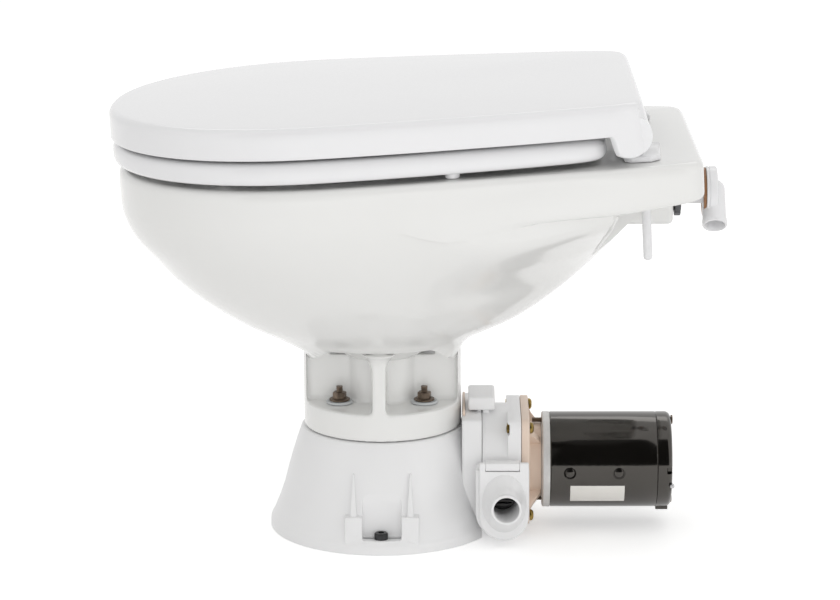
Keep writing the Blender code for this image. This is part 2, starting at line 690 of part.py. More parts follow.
def boolean(target, tool, operation):
    """Cut, join or keep what is common, with a tool that stays in the cutters' collection."""
    step = target.modifiers.new(tool.name, "BOOLEAN")
    step.operation = operation
    step.solver = "EXACT"
    step.object = tool
    if tool.name in PARTS.objects:
        PARTS.objects.unlink(tool)
        CUTTERS.objects.link(tool)
    tool.hide_render = True
    tool.display_type = "WIRE"


def cut(target, tool):
    boolean(target, tool, "DIFFERENCE")


def join(target, tool):
    boolean(target, tool, "UNION")


def hang_on_hinge(obj):
    """The mesh is in rim coordinates; its parent empty is on the hinge axis."""
    obj.parent = HINGE_FRAME
    obj.location = (0.0, -HINGE_Y, -HINGE_Z)


def egg(front, rear, half_width, widest, corner_power=2.0, taper_share=0.0, inset=0.0):
    """Plan outline, starting at the rear centre and going round by +X. front is towards -Y."""
    points = []
    front_length = front - widest - inset
    rear_length = rear + widest - inset
    for step in range(OUTLINE_STEPS):
        angle = 2.0 * math.pi * step / OUTLINE_STEPS
        across, along = math.sin(angle), math.cos(angle)
        power = corner_power if along > 0.0 else FRONT_POWER
        length = rear_length if along > 0.0 else front_length
        x = (half_width - inset) * math.copysign(abs(across) ** (2.0 / power), across)
        share = abs(along) ** (2.0 / power)
        if along > 0.0:
            x *= 1.0 - taper_share * share ** TAPER_POWER
        points.append((x, -widest + math.copysign(share, along) * length))
    return points


def circle(radius):
    """Plan circle with the same point count and start as egg."""
    angles = [2.0 * math.pi * step / OUTLINE_STEPS for step in range(OUTLINE_STEPS)]
    return [(radius * math.sin(angle), radius * math.cos(angle)) for angle in angles]


def tilted(points, depth, share):
    """Put a plan outline below the rim, in a plane that turns from level to the rim's tilt."""
    turn = Matrix.Rotation(RIM_TILT * share, 3, "X")
    centre = Vector((0.0, 0.0, RIM_HEIGHT))
    return [centre + turn @ Vector((x, y, -depth)) for x, y in points]


def between(low, high, share):
    return low + (high - low) * share


def rim_outline(inset=0.0, short=0.0):
    return egg(RIM_FRONT, DECK_REAR - short, RIM_HALF_WIDTH, RIM_WIDEST, DECK_CORNER_POWER,
               DECK_TAPER_SHARE, inset)


def bowl_outer_rings():
    """Rings down the outside: slab edge, bowl body, then the round foot."""
    rings = []
    soft = SLAB_TOP_ROUND * SOFT_SHARE
    for depth, inset, short in ((0.0, SLAB_TOP_ROUND, 0.0), (soft, soft, 0.0), (SLAB_TOP_ROUND, 0.0, 0.0),
                                (SLAB_THICKNESS - SLAB_BOTTOM_ROUND, 0.0, 0.0),
                                (SLAB_THICKNESS, 0.0, SLAB_BOTTOM_ROUND)):
        rings.append(tilted(rim_outline(inset, short), depth, 1.0))
    body_depth = RIM_HEIGHT - FOOT_TOP - SLAB_THICKNESS
    for depth, front, rear, width, tilt, power in BODY_SECTION_SHARES:
        outline = egg(between(FOOT_RADIUS, RIM_FRONT, front), between(FOOT_RADIUS, DECK_REAR, rear),
                      between(FOOT_RADIUS, RIM_HALF_WIDTH, width), RIM_WIDEST * front, power,
                      BODY_TAPER_SHARE * rear)
        rings.append(tilted(outline, SLAB_THICKNESS + body_depth * depth, tilt))
    for height in (FOOT_TOP, FOOT_BOTTOM):
        rings.append(tilted(circle(FOOT_RADIUS), RIM_HEIGHT - height, 0.0))
    return rings


def basin_outline(reach, spread=0.0):
    """Plan outline of the basin at a share of its reach from the throat to the rim opening."""
    return egg(between(THROAT_RADIUS, RIM_INNER_FRONT + spread, reach),
               between(THROAT_RADIUS, RIM_INNER_REAR + spread, reach),
               between(THROAT_RADIUS, RIM_INNER_HALF_WIDTH + spread, reach), RIM_WIDEST * reach)


def bowl_inner_rings():
    """Rings up the inside: throat, basin, then the overhanging rim."""
    rings = [tilted(circle(THROAT_RADIUS), RIM_HEIGHT - FOOT_BOTTOM, 0.0)]
    floor = RIM_HEIGHT - FOOT_TOP - BASIN_FLOOR_GAP
    rings.append(tilted(circle(THROAT_RADIUS), floor, 0.0))
    start = RIM_LIP_DEPTH
    for depth, reach, tilt in reversed(BASIN_SECTION_SHARES):
        rings.append(tilted(basin_outline(reach, RIM_UNDERCUT), between(start, floor, depth), tilt))
    rings.append(tilted(basin_outline(1.0), RIM_LIP_DEPTH, 1.0))
    rings.append(tilted(basin_outline(1.0), RIM_LIP_ROUND, 1.0))
    rings.append(tilted(basin_outline(1.0, RIM_LIP_ROUND), 0.0, 1.0))
    return rings


def cut_foot_pockets(bowl):
    """Two pockets on each side of the foot, round the throat wall, down to the bolting ledge."""
    throat_wall = THROAT_RADIUS + THROAT_WALL
    pocket_top = FOOT_TOP - POCKET_TOP_GAP
    rib_low = FOOT_RIB_OFFSET - FOOT_RIB / 2.0
    rib_high = FOOT_RIB_OFFSET + FOOT_RIB / 2.0
    end = FOOT_RADIUS - FOOT_END_WALL
    for side, sign in (("left", -1.0), ("right", 1.0)):
        for where, low, high in (("front", -end, rib_low), ("rear", rib_high, end)):
            near, far = sorted((sign * FOOT_WEB / 2.0, sign * (FOOT_RADIUS + OVERRUN)))
            pocket = block(f"pocket_{where}_{side}", (near, low, FOOT_LEDGE), (far, high, pocket_top))
            keep = rod(f"throat_wall_{where}_{side}", (0.0, 0.0, FOOT_BOTTOM), (0.0, 0.0, FOOT_TOP),
                       throat_wall)
            cut(pocket, keep)
            cut(bowl, pocket)


def in_rim_frame(obj):
    """Give a tool the rim frame as its parent."""
    obj.parent = RIM_FRAME
    return obj


def build_bowl():
    bowl = loft("bowl", bowl_outer_rings() + bowl_inner_rings(), CERAMIC, closed=True)
    for side, sign in (("left", -1.0), ("right", 1.0)):
        near, far = sorted((sign * RECESS_INNER, sign * RECESS_OUTER))
        recess = block(f"deck_recess_{side}", (near, RECESS_FRONT, -SLAB_THICKNESS - RIM_LIP_DEPTH),
                       (far, RECESS_REAR, -DECK_PLATE))
        cut(bowl, in_rim_frame(recess))
        hinge_x = sign * HINGE_SPACING / 2.0
        hole = rod(f"hinge_hole_{side}", (hinge_x, HINGE_BOLT_Y, OVERRUN),
                   (hinge_x, HINGE_BOLT_Y, -DECK_PLATE - OVERRUN), HINGE_HOLE_RADIUS,
                   steps=FASTENER_STEPS)
        cut(bowl, in_rim_frame(hole))
    channel = block("water_channel", (-CHANNEL_HALF_WIDTH, CHANNEL_FRONT, CHANNEL_BOTTOM),
                    (CHANNEL_HALF_WIDTH, CHANNEL_REAR, CHANNEL_TOP), edge=CHANNEL_EDGE, segments=1)
    join(bowl, channel)
    inlet = rod("inlet_bore", (0.0, CHANNEL_REAR - INLET_BORE_DEPTH, INLET_HEIGHT),
                (0.0, CHANNEL_REAR + OVERRUN, INLET_HEIGHT), INLET_BORE)
    cut(bowl, inlet)
    nut_room = rod("nut_room", (0.0, CHANNEL_REAR, INLET_HEIGHT), (0.0, DECK_REAR + OVERRUN, INLET_HEIGHT),
                   INLET_NUT_RADIUS + INLET_NUT_ROOM)
    cut(bowl, nut_room)
    cut_foot_pockets(bowl)
    for name, x, y in stud_places():
        hole = rod("ledge_hole_" + name, (x, y, FOOT_BOTTOM - OVERRUN), (x, y, FOOT_LEDGE + OVERRUN),
                   STUD_HOLE, steps=FASTENER_STEPS)
        cut(bowl, hole)
    return bowl


def stud_places():
    """Name and place of the four bowl fixings."""
    return [("front_left", -STUD_X, -STUD_Y), ("front_right", STUD_X, -STUD_Y),
            ("rear_left", -STUD_X, STUD_Y), ("rear_right", STUD_X, STUD_Y)]


def build_bowl_fixings():
    """Gasket under the foot, and on its ledge four pads, each under a stud with washer and nut."""
    gasket_bottom = BASE_HEIGHT + CLEARANCE
    gasket_top = FOOT_BOTTOM - CLEARANCE
    gasket = ring("bowl_gasket", (0.0, 0.0, gasket_bottom), (0.0, 0.0, gasket_top), GASKET_OUTER,
                  THROAT_RADIUS, RUBBER, ROUND_STEPS)
    stud_bottom = BASE_HEIGHT - BASE_TOP_PLATE + CLEARANCE
    pad_bottom = FOOT_LEDGE + CLEARANCE
    pad_top = pad_bottom + PAD_THICKNESS
    washer_bottom = pad_top + CLEARANCE
    washer_top = washer_bottom + WASHER_THICKNESS
    nut_top = washer_top + STUD_NUT_HEIGHT
    for name, x, y in stud_places():
        hole = rod("gasket_hole_" + name, (x, y, gasket_bottom - OVERRUN), (x, y, gasket_top + OVERRUN),
                   STUD_HOLE, steps=FASTENER_STEPS)
        cut(gasket, hole)
        stud = rod("bowl_bolt_" + name, (x, y, stud_bottom), (x, y, STUD_TOP), STUD_RADIUS, DARK_STEEL,
                   steps=FASTENER_STEPS)
        join(stud, rod("bowl_washer_" + name, (x, y, washer_bottom), (x, y, washer_top), WASHER_RADIUS,
                       steps=FASTENER_STEPS))
        join(stud, rod("bowl_nut_" + name, (x, y, washer_top - WASHER_THICKNESS / 2.0), (x, y, nut_top),
                       STUD_NUT_RADIUS, steps=NUT_SIDES))
        ring("bowl_pad_" + name, (x, y, pad_bottom), (x, y, pad_top), PAD_RADIUS, STUD_RADIUS + CLEARANCE,
             PALE_RUBBER, FASTENER_STEPS)


def base_profile():
    """Half section of the hollow cone: top, outside, floor flange, then up the inside."""
    outer = [(0.0, BASE_HEIGHT), (BASE_CONE_TOP_RADIUS - BASE_SHOULDER, BASE_HEIGHT)]
    cone_top = BASE_HEIGHT - BASE_SHOULDER
    cone = [(between(BASE_CONE_TOP_RADIUS, BASE_CONE_BOTTOM_RADIUS, spread),
             between(BASE_CONE_FOOT, cone_top, height)) for height, spread in BASE_CONE_SHARES]
    outer += reversed(cone)
    outer += [(BASE_FLANGE_RADIUS - BASE_FLANGE_EDGE, BASE_FLANGE_THICKNESS),
              (BASE_FLANGE_RADIUS, BASE_FLANGE_THICKNESS - BASE_FLANGE_EDGE),
              (BASE_FLANGE_RADIUS, 0.0)]
    ceiling = BASE_HEIGHT - BASE_TOP_PLATE
    inner = [(cone[0][0] - BASE_WALL, 0.0)]
    inner += [(radius - BASE_WALL, height) for radius, height in cone[:-1]]
    inner += [(cone[-1][0] - BASE_WALL, ceiling), (0.0, ceiling)]
    return outer + inner


def add_bolt_recess(base, side, sign):
    """Towers and gussets round the recess where the floor bolt sits."""
    lining = RECESS_WALL_X - RECESS_LINING
    near, far = sorted((sign * lining, sign * (RECESS_WALL_X + BURY)))
    wall = block("recess_wall_" + side, (near, -TOWER_INNER - RECESS_LINING, 0.0),
                 (far, TOWER_INNER + RECESS_LINING, GUSSET_HEIGHT - BURY))
    inside = turned("cone_envelope_" + side, base_envelope(), (0.0, 0.0, 0.0), Z_AXIS)
    boolean(wall, inside, "INTERSECT")
    join(base, wall)
    for where, low, high in (("front", -TOWER_OUTER, -TOWER_INNER), ("rear", TOWER_INNER, TOWER_OUTER)):
        near, far = sorted((sign * lining, sign * TOWER_FRONT))
        tower = block(f"tower_{where}_{side}", (near, low, 0.0), (far, high, TOWER_HEIGHT), edge=BURY / 2.0,
                      segments=1)
        join(base, tower)
        middle = (low + high) / 2.0
        reach = between(BASE_CONE_TOP_RADIUS, BASE_CONE_BOTTOM_RADIUS, GUSSET_REACH_SHARE)
        fin = [(sign * lining, TOWER_HEIGHT - BURY), (sign * (TOWER_FRONT - BURY), TOWER_HEIGHT - BURY),
               (sign * (reach - BURY), GUSSET_HEIGHT), (sign * lining, GUSSET_HEIGHT)]
        gusset = plate(f"gusset_{where}_{side}", fin, (0.0, middle, 0.0), GUSSET_THICKNESS, X_AXIS, Z_AXIS)
        join(base, gusset)
    near, far = sorted((sign * RECESS_WALL_X, sign * (BASE_FLANGE_RADIUS + OVERRUN)))
    recess = block("bolt_recess_" + side, (near, -TOWER_INNER, BASE_FLANGE_THICKNESS),
                   (far, TOWER_INNER, BASE_HEIGHT))
    cut(base, recess)
    hole = rod("floor_hole_" + side, (sign * FLOOR_BOLT_X, 0.0, -OVERRUN),
               (sign * FLOOR_BOLT_X, 0.0, BASE_FLANGE_THICKNESS + OVERRUN), FLOOR_BOLT_HOLE,
               steps=FASTENER_STEPS)
    cut(base, hole)


def base_envelope():
    """The cone as a solid, a little inside its outer face."""
    shrink = BASE_WALL / 2.0
    top = BASE_HEIGHT - BASE_TOP_PLATE / 2.0
    return [(0.0, top), (BASE_CONE_TOP_RADIUS - shrink, top),
            (BASE_CONE_BOTTOM_RADIUS - shrink, BASE_CONE_FOOT),
            (BASE_CONE_BOTTOM_RADIUS - shrink, 0.0), (0.0, 0.0)]


def build_base():
    base = turned("base_housing", base_profile(), (0.0, 0.0, 0.0), Z_AXIS, BASE_PLASTIC)
    join(base, rod("sump", (0.0, 0.0, 0.0), (0.0, 0.0, BASE_HEIGHT - BASE_TOP_PLATE / 2.0), SUMP_RADIUS))
    join(base, rod("duct", (0.0, SUMP_BORE, AXIS_HEIGHT), (0.0, REAR_PLATE_REAR - BURY, AXIS_HEIGHT),
                   DUCT_RADIUS))
    rear_plate = block("rear_plate", (-REAR_PLATE_HALF_WIDTH, REAR_PLATE_FRONT, REAR_PLATE_BOTTOM),
                       (REAR_PLATE_HALF_WIDTH, REAR_PLATE_REAR + OVERRUN, REAR_PLATE_TOP),
                       edge=REAR_PLATE_EDGE, segments=1)
    join(base, rear_plate)
    cut(base, block("rear_face", (-BASE_FLANGE_RADIUS, REAR_PLATE_REAR, -OVERRUN),
                    (BASE_FLANGE_RADIUS, BASE_FLANGE_RADIUS + OVERRUN, REAR_PLATE_TOP + OVERRUN)))
    lug = block("base_lug", (-LUG_HALF_WIDTH, REAR_PLATE_REAR - BASE_LUG_DEPTH, REAR_PLATE_TOP - BURY),
                (LUG_HALF_WIDTH, REAR_PLATE_REAR - CLEARANCE, LUG_TOP))
    join(base, lug)
    for side, sign in (("left", -1.0), ("right", 1.0)):
        add_bolt_recess(base, side, sign)
    cut(base, rod("sump_bore", (0.0, 0.0, SUMP_FLOOR), (0.0, 0.0, BASE_HEIGHT + OVERRUN), SUMP_BORE))
    cut(base, rod("duct_bore", (0.0, 0.0, AXIS_HEIGHT), (0.0, REAR_PLATE_REAR + OVERRUN, AXIS_HEIGHT),
                  DUCT_BORE))
    for name, x, y in stud_places():
        hole = rod("base_hole_" + name, (x, y, BASE_HEIGHT - BASE_TOP_PLATE - OVERRUN),
                   (x, y, BASE_HEIGHT + OVERRUN), STUD_RADIUS + CLEARANCE, steps=FASTENER_STEPS)
        cut(base, hole)
    for side, sign in (("left", -1.0), ("right", 1.0)):
        x = sign * FLOOR_BOLT_X
        top = BASE_FLANGE_THICKNESS + CLEARANCE
        bolt = rod("floor_bolt_" + side, (x, 0.0, top), (x, 0.0, top + FLOOR_BOLT_HEAD),
                   FLOOR_BOLT_HEAD_RADIUS, STEEL, steps=FASTENER_STEPS)
        shank = rod("floor_shank_" + side, (x, 0.0, CLEARANCE), (x, 0.0, top + BURY), FLOOR_BOLT_SHANK,
                    steps=FASTENER_STEPS)
        join(bolt, shank)


def lid_outline(inset=0.0):
    return egg(LID_FRONT, LID_REAR, LID_HALF_WIDTH, LID_WIDEST, LID_CORNER_POWER,
               LID_REAR_TAPER_SHARE, inset)


def seat_outline(inset=0.0):
    return egg(LID_FRONT, SEAT_REAR, LID_HALF_WIDTH, LID_WIDEST, LID_CORNER_POWER,
               LID_REAR_TAPER_SHARE, SEAT_INSET + inset)


def seat_hole_outline(inset=0.0):
    return egg(SEAT_HOLE_FRONT + inset, SEAT_HOLE_REAR + inset, SEAT_HOLE_HALF_WIDTH + inset,
               RIM_WIDEST)


def under_lid(shares):
    """Places given as shares of the lid's half width and front length."""
    return [(x * LID_HALF_WIDTH, y * LID_FRONT) for x, y in shares]


def at_height(points, height):
    return [Vector((x, y, height)) for x, y in points]


def build_seat():
    bottom = SEAT_GAP
    top = SEAT_GAP + SEAT_THICKNESS
    edge = SEAT_ROUND
    soft = edge * SOFT_SHARE
    levels = [(top, edge), (top - soft, soft), (top - edge, 0.0), (bottom + edge, 0.0),
              (bottom + soft, soft), (bottom, edge)]
    rings = [at_height(seat_outline(inset), height) for height, inset in levels]
    rings += [at_height(seat_hole_outline(inset), height) for height, inset in (
        (bottom, soft), (top - edge, 0.0), (top - soft, soft), (top, edge))]
    seat = loft("seat", rings, SEAT_PLASTIC, closed=True)
    lug_centre = HINGE_SPACING / 2.0 - HINGE_POST_WIDTH / 2.0 - HINGE_SIDE_GAP - SEAT_LUG_WIDTH / 2.0
    for side, sign in (("left", -1.0), ("right", 1.0)):
        x = sign * lug_centre
        low, high = x - SEAT_LUG_WIDTH / 2.0, x + SEAT_LUG_WIDTH / 2.0
        arm = block("seat_arm_" + side, (low, SEAT_REAR - edge - BURY, bottom + edge),
                    (high, HINGE_Y, HINGE_Z + SEAT_LUG_RADIUS / 2.0))
        eye = rod("seat_eye_" + side, (low, HINGE_Y, HINGE_Z), (high, HINGE_Y, HINGE_Z), SEAT_LUG_RADIUS)
        hole = rod("seat_pin_hole_" + side, (low - OVERRUN, HINGE_Y, HINGE_Z),
                   (high + OVERRUN, HINGE_Y, HINGE_Z), HINGE_PIN_RADIUS + CLEARANCE, steps=FASTENER_STEPS)
        for tool, action in ((arm, join), (eye, join), (hole, cut)):
            hang_on_hinge(tool)
            action(seat, tool)
    for index, (x, y) in enumerate(under_lid(SEAT_BUFFER_SHARES)):
        for sign in (-1.0, 1.0):
            buffer = rod(f"seat_buffer_{index}_{sign:+.0f}", (sign * x, y, CLEARANCE),
                         (sign * x, y, bottom + BURY), BUFFER_RADIUS, steps=FASTENER_STEPS)
            hang_on_hinge(buffer)
            join(seat, buffer)
    hang_on_hinge(seat)
    return seat


def build_lid():
    """A shell with a deep skirt, hinge lobes at the rear ends and bosses for its buffers."""
    bottom = SEAT_GAP + SEAT_THICKNESS + LID_GAP
    top = bottom + LID_DEPTH
    inner_top = top - LID_WALL
    soft = LID_ROUND * SOFT_SHARE
    rings = []
    for spread in LID_CROWN_SHARES:
        lift = LID_CROWN * (1.0 - spread * spread)
        rings.append([Vector((x * spread, -LID_WIDEST + (y + LID_WIDEST) * spread, top + lift))
                      for x, y in lid_outline(LID_ROUND)])
    rings += [at_height(lid_outline(inset), height) for height, inset in (
        (top, LID_ROUND), (top - soft, soft), (top - LID_ROUND, 0.0), (bottom, 0.0),
        (bottom, LID_WALL), (inner_top - LID_WALL, LID_WALL), (inner_top, LID_WALL * 2.0))]
    lid = loft("lid", rings, SEAT_PLASTIC)
    notch_half = LID_LOBE_OUTER - LID_LOBE_WIDTH / 2.0
    notch = block("lid_rear_notch", (-notch_half, HINGE_Y - LID_LOBE_RADIUS, bottom - OVERRUN),
                  (notch_half, LID_REAR + OVERRUN, top - LID_REAR_SKIRT))
    hang_on_hinge(notch)
    cut(lid, notch)
    for side, sign in (("left", -1.0), ("right", 1.0)):
        low, high = sorted((sign * (LID_LOBE_OUTER - LID_LOBE_WIDTH), sign * LID_LOBE_OUTER))
        lobe = rod("lid_lobe_" + side, (low, HINGE_Y, HINGE_Z), (high, HINGE_Y, HINGE_Z), LID_LOBE_RADIUS)
        web = block("lid_web_" + side, (low, HINGE_Y - LID_LOBE_RADIUS + BURY, HINGE_Z),
                    (high, LID_REAR - LID_ROUND, inner_top + LID_WALL / 2.0))
        inner = sign * (LID_LOBE_OUTER - LID_LOBE_WIDTH)
        hole = rod("lid_pin_hole_" + side, (inner - sign * OVERRUN, HINGE_Y, HINGE_Z),
                   (inner + sign * (LID_LOBE_WIDTH / 2.0), HINGE_Y, HINGE_Z), HINGE_PIN_RADIUS + CLEARANCE,
                   steps=FASTENER_STEPS)
        for tool, action in ((lobe, join), (web, join), (hole, cut)):
            hang_on_hinge(tool)
            action(lid, tool)
        for index, (x, y) in enumerate(under_lid(LID_BUFFER_SHARES)):
            boss_bottom = bottom - LID_GAP + LID_BOSS_GAP
            boss = rod(f"lid_boss_{side}_{index}", (sign * x, y, boss_bottom),
                       (sign * x, y, inner_top + LID_WALL / 2.0), LID_BOSS_RADIUS, steps=FASTENER_STEPS)
            buffer = rod(f"lid_buffer_{side}_{index}", (sign * x, y, bottom - LID_GAP + CLEARANCE),
                         (sign * x, y, boss_bottom + BURY), BUFFER_RADIUS, steps=FASTENER_STEPS)
            for tool in (boss, buffer):
                hang_on_hinge(tool)
                join(lid, tool)
    hang_on_hinge(lid)
    return lid


def build_hinges():
    """Posts with their plates, bolts through the deck, nuts under it, and the pins."""
    half = HINGE_POST_WIDTH / 2.0
    lug_inner = HINGE_SPACING / 2.0 - half - HINGE_SIDE_GAP - SEAT_LUG_WIDTH
    lobe_inner = LID_LOBE_OUTER - LID_LOBE_WIDTH
    pin_end = lobe_inner + LID_LOBE_WIDTH / 2.0 - CLEARANCE - BURY
    for side, sign in (("left", -1.0), ("right", 1.0)):
        x = sign * HINGE_SPACING / 2.0
        post = block("hinge_post_" + side, (x - HINGE_PLATE_WIDTH / 2.0, HINGE_PLATE_FRONT, CLEARANCE),
                     (x + HINGE_PLATE_WIDTH / 2.0, HINGE_PLATE_REAR, HINGE_PLATE_THICKNESS), SEAT_PLASTIC)
        upright_half = HINGE_POST_RADIUS - CLEARANCE
        upright = block("hinge_upright_" + side,
                        (x - half, HINGE_Y - upright_half, HINGE_PLATE_THICKNESS - BURY),
                        (x + half, HINGE_Y + upright_half, HINGE_Z))
        head = rod("hinge_head_" + side, (x - half, HINGE_Y, HINGE_Z), (x + half, HINGE_Y, HINGE_Z),
                   HINGE_POST_RADIUS)
        bore = rod("hinge_bore_" + side, (x - half - OVERRUN, HINGE_Y, HINGE_Z),
                   (x + half + OVERRUN, HINGE_Y, HINGE_Z), HINGE_PIN_RADIUS + CLEARANCE,
                   steps=FASTENER_STEPS)
        hole = rod("hinge_plate_hole_" + side, (x, HINGE_BOLT_Y, -OVERRUN),
                   (x, HINGE_BOLT_Y, HINGE_PLATE_THICKNESS + OVERRUN), HINGE_BOLT_RADIUS + CLEARANCE,
                   steps=FASTENER_STEPS)
        for tool, action in ((upright, join), (head, join), (bore, cut), (hole, cut)):
            action(post, in_rim_frame(tool))
        in_rim_frame(post)
        low, high = sorted((sign * lug_inner, sign * pin_end))
        pin = rod("hinge_pin_" + side, (low, HINGE_Y, HINGE_Z), (high, HINGE_Y, HINGE_Z),
                  HINGE_PIN_RADIUS, STEEL, steps=FASTENER_STEPS)
        in_rim_frame(pin)
        head_bottom = HINGE_PLATE_THICKNESS + CLEARANCE
        bolt = rod("hinge_bolt_" + side, (x, HINGE_BOLT_Y, head_bottom - HINGE_BOLT_LENGTH),
                   (x, HINGE_BOLT_Y, head_bottom + BURY / 2.0), HINGE_BOLT_RADIUS * HINGE_BOLT_TIP_SHARE,
                   SEAT_PLASTIC, HINGE_BOLT_RADIUS, FASTENER_STEPS)
        cap = rod("hinge_bolt_head_" + side, (x, HINGE_BOLT_Y, head_bottom),
                  (x, HINGE_BOLT_Y, head_bottom + HINGE_BOLT_HEAD), HINGE_BOLT_HEAD_RADIUS,
                  steps=FASTENER_STEPS)
        join(bolt, in_rim_frame(cap))
        in_rim_frame(bolt)
        nut_top = -DECK_PLATE - CLEARANCE
        nut = ring("hinge_nut_" + side, (x, HINGE_BOLT_Y, nut_top - HINGE_NUT_HEIGHT),
                   (x, HINGE_BOLT_Y, nut_top), HINGE_NUT_RADIUS, HINGE_BOLT_RADIUS + CLEARANCE,
                   SEAT_PLASTIC, NUT_SIDES)
        in_rim_frame(nut)


def build_inlet():
    """Elbow with its shank, the nut and seal on the channel wall, and the washer at the collar."""
    wall = CHANNEL_REAR
    seal_front = wall + CLEARANCE
    seal_rear = seal_front + INLET_SEAL_THICKNESS
    nut_front = seal_rear + CLEARANCE
    nut_rear = nut_front + INLET_NUT_THICKNESS
    bore = SHANK_RADIUS + CLEARANCE
    ring("inlet_seal", (0.0, seal_front, INLET_HEIGHT), (0.0, seal_rear, INLET_HEIGHT),
         INLET_SEAL_RADIUS, bore, RUBBER)
    ring("inlet_nut", (0.0, nut_front, INLET_HEIGHT), (0.0, nut_rear, INLET_HEIGHT),
         INLET_NUT_RADIUS, bore, NUT_GREY)
    washer_rear = ELBOW_COLLAR_FACE - CLEARANCE
    ring("inlet_washer", (0.0, washer_rear - INLET_WASHER_THICKNESS, INLET_HEIGHT),
         (0.0, washer_rear, INLET_HEIGHT), INLET_WASHER_RADIUS, bore, CARD)
    elbow = rod("inlet_elbow", (0.0, ELBOW_COLLAR_FACE, INLET_HEIGHT),
                (0.0, ELBOW_COLLAR_FACE + ELBOW_COLLAR_THICKNESS, INLET_HEIGHT), ELBOW_COLLAR_RADIUS,
                SEAT_PLASTIC)
    shank = rod("elbow_shank", (0.0, wall - SHANK_REACH, INLET_HEIGHT), (0.0, ELBOW_AXIS_Y, INLET_HEIGHT),
                SHANK_RADIUS)
    down = Vector((math.sin(ELBOW_SWING), 0.0, -math.cos(ELBOW_SWING)))
    corner = Vector((0.0, ELBOW_AXIS_Y, INLET_HEIGHT))
    end = corner + down * ELBOW_LENGTH
    tube = rod("elbow_tube", corner, end - down * (ELBOW_BARB_LENGTH / 2.0), ELBOW_TUBE_RADIUS)
    barb = rod("elbow_barb", end - down * ELBOW_BARB_LENGTH, end, ELBOW_BARB_RADIUS,
               end_radius=ELBOW_TUBE_RADIUS)
    knee = ball("elbow_knee", corner, ELBOW_KNEE_RADIUS)
    for tool in (shank, knee, tube, barb):
        join(elbow, tool)
    way_in = rod("elbow_bore", corner, end + down * OVERRUN, WATERWAY_RADIUS)
    way_on = rod("shank_bore", (0.0, wall - SHANK_REACH - OVERRUN, INLET_HEIGHT), corner, WATERWAY_RADIUS)
    turn = ball("elbow_turn", corner, WATERWAY_RADIUS + CLEARANCE)
    join(way_in, way_on)
    join(way_in, turn)
    cut(elbow, way_in)
    elbow.parent = ELBOW_FRAME
    elbow.location = -ELBOW_FRAME.location


def ball(name, centre, radius):
    bm = bmesh.new()
    bmesh.ops.create_uvsphere(bm, u_segments=12, v_segments=7, radius=radius,
                              matrix=Matrix.Translation(centre))
    return add(name, finish_mesh(name, bm))


def rounded_square(half, corner, steps=3):
    """Outline of a square with round corners."""
    points = []
    for index, (sx, sy) in enumerate(((1, 1), (-1, 1), (-1, -1), (1, -1))):
        for step in range(steps + 1):
            angle = math.pi / 2.0 * (index + step / steps)
            points.append((sx * (half - corner) + corner * math.cos(angle),
                           sy * (half - corner) + corner * math.sin(angle)))
    return points


def u_outline(half, top, round_height, steps=8):
    """Outline with a flat top and a half round bottom, about the block's middle."""
    points = [(BLOCK_Y + half, top), (BLOCK_Y - half, top)]
    for step in range(steps + 1):
        angle = math.pi * (1.0 + step / steps)
        points.append((BLOCK_Y + half * math.cos(angle), round_height + half * math.sin(angle)))
    return points


def flange_plate(name, front, rear, material=None):
    """A rounded square plate round the motor axis."""
    outline = rounded_square(PUMP_FLANGE_HALF, PUMP_FLANGE_CORNER)
    middle = Vector((0.0, (front + rear) / 2.0, AXIS_HEIGHT))
    return plate(name, outline, middle, rear - front, Z_AXIS, X_AXIS, material)


def screw_places():
    return [(sx * SCREW_OFFSET, AXIS_HEIGHT + sz * SCREW_OFFSET) for sx in (-1, 1) for sz in (-1, 1)]


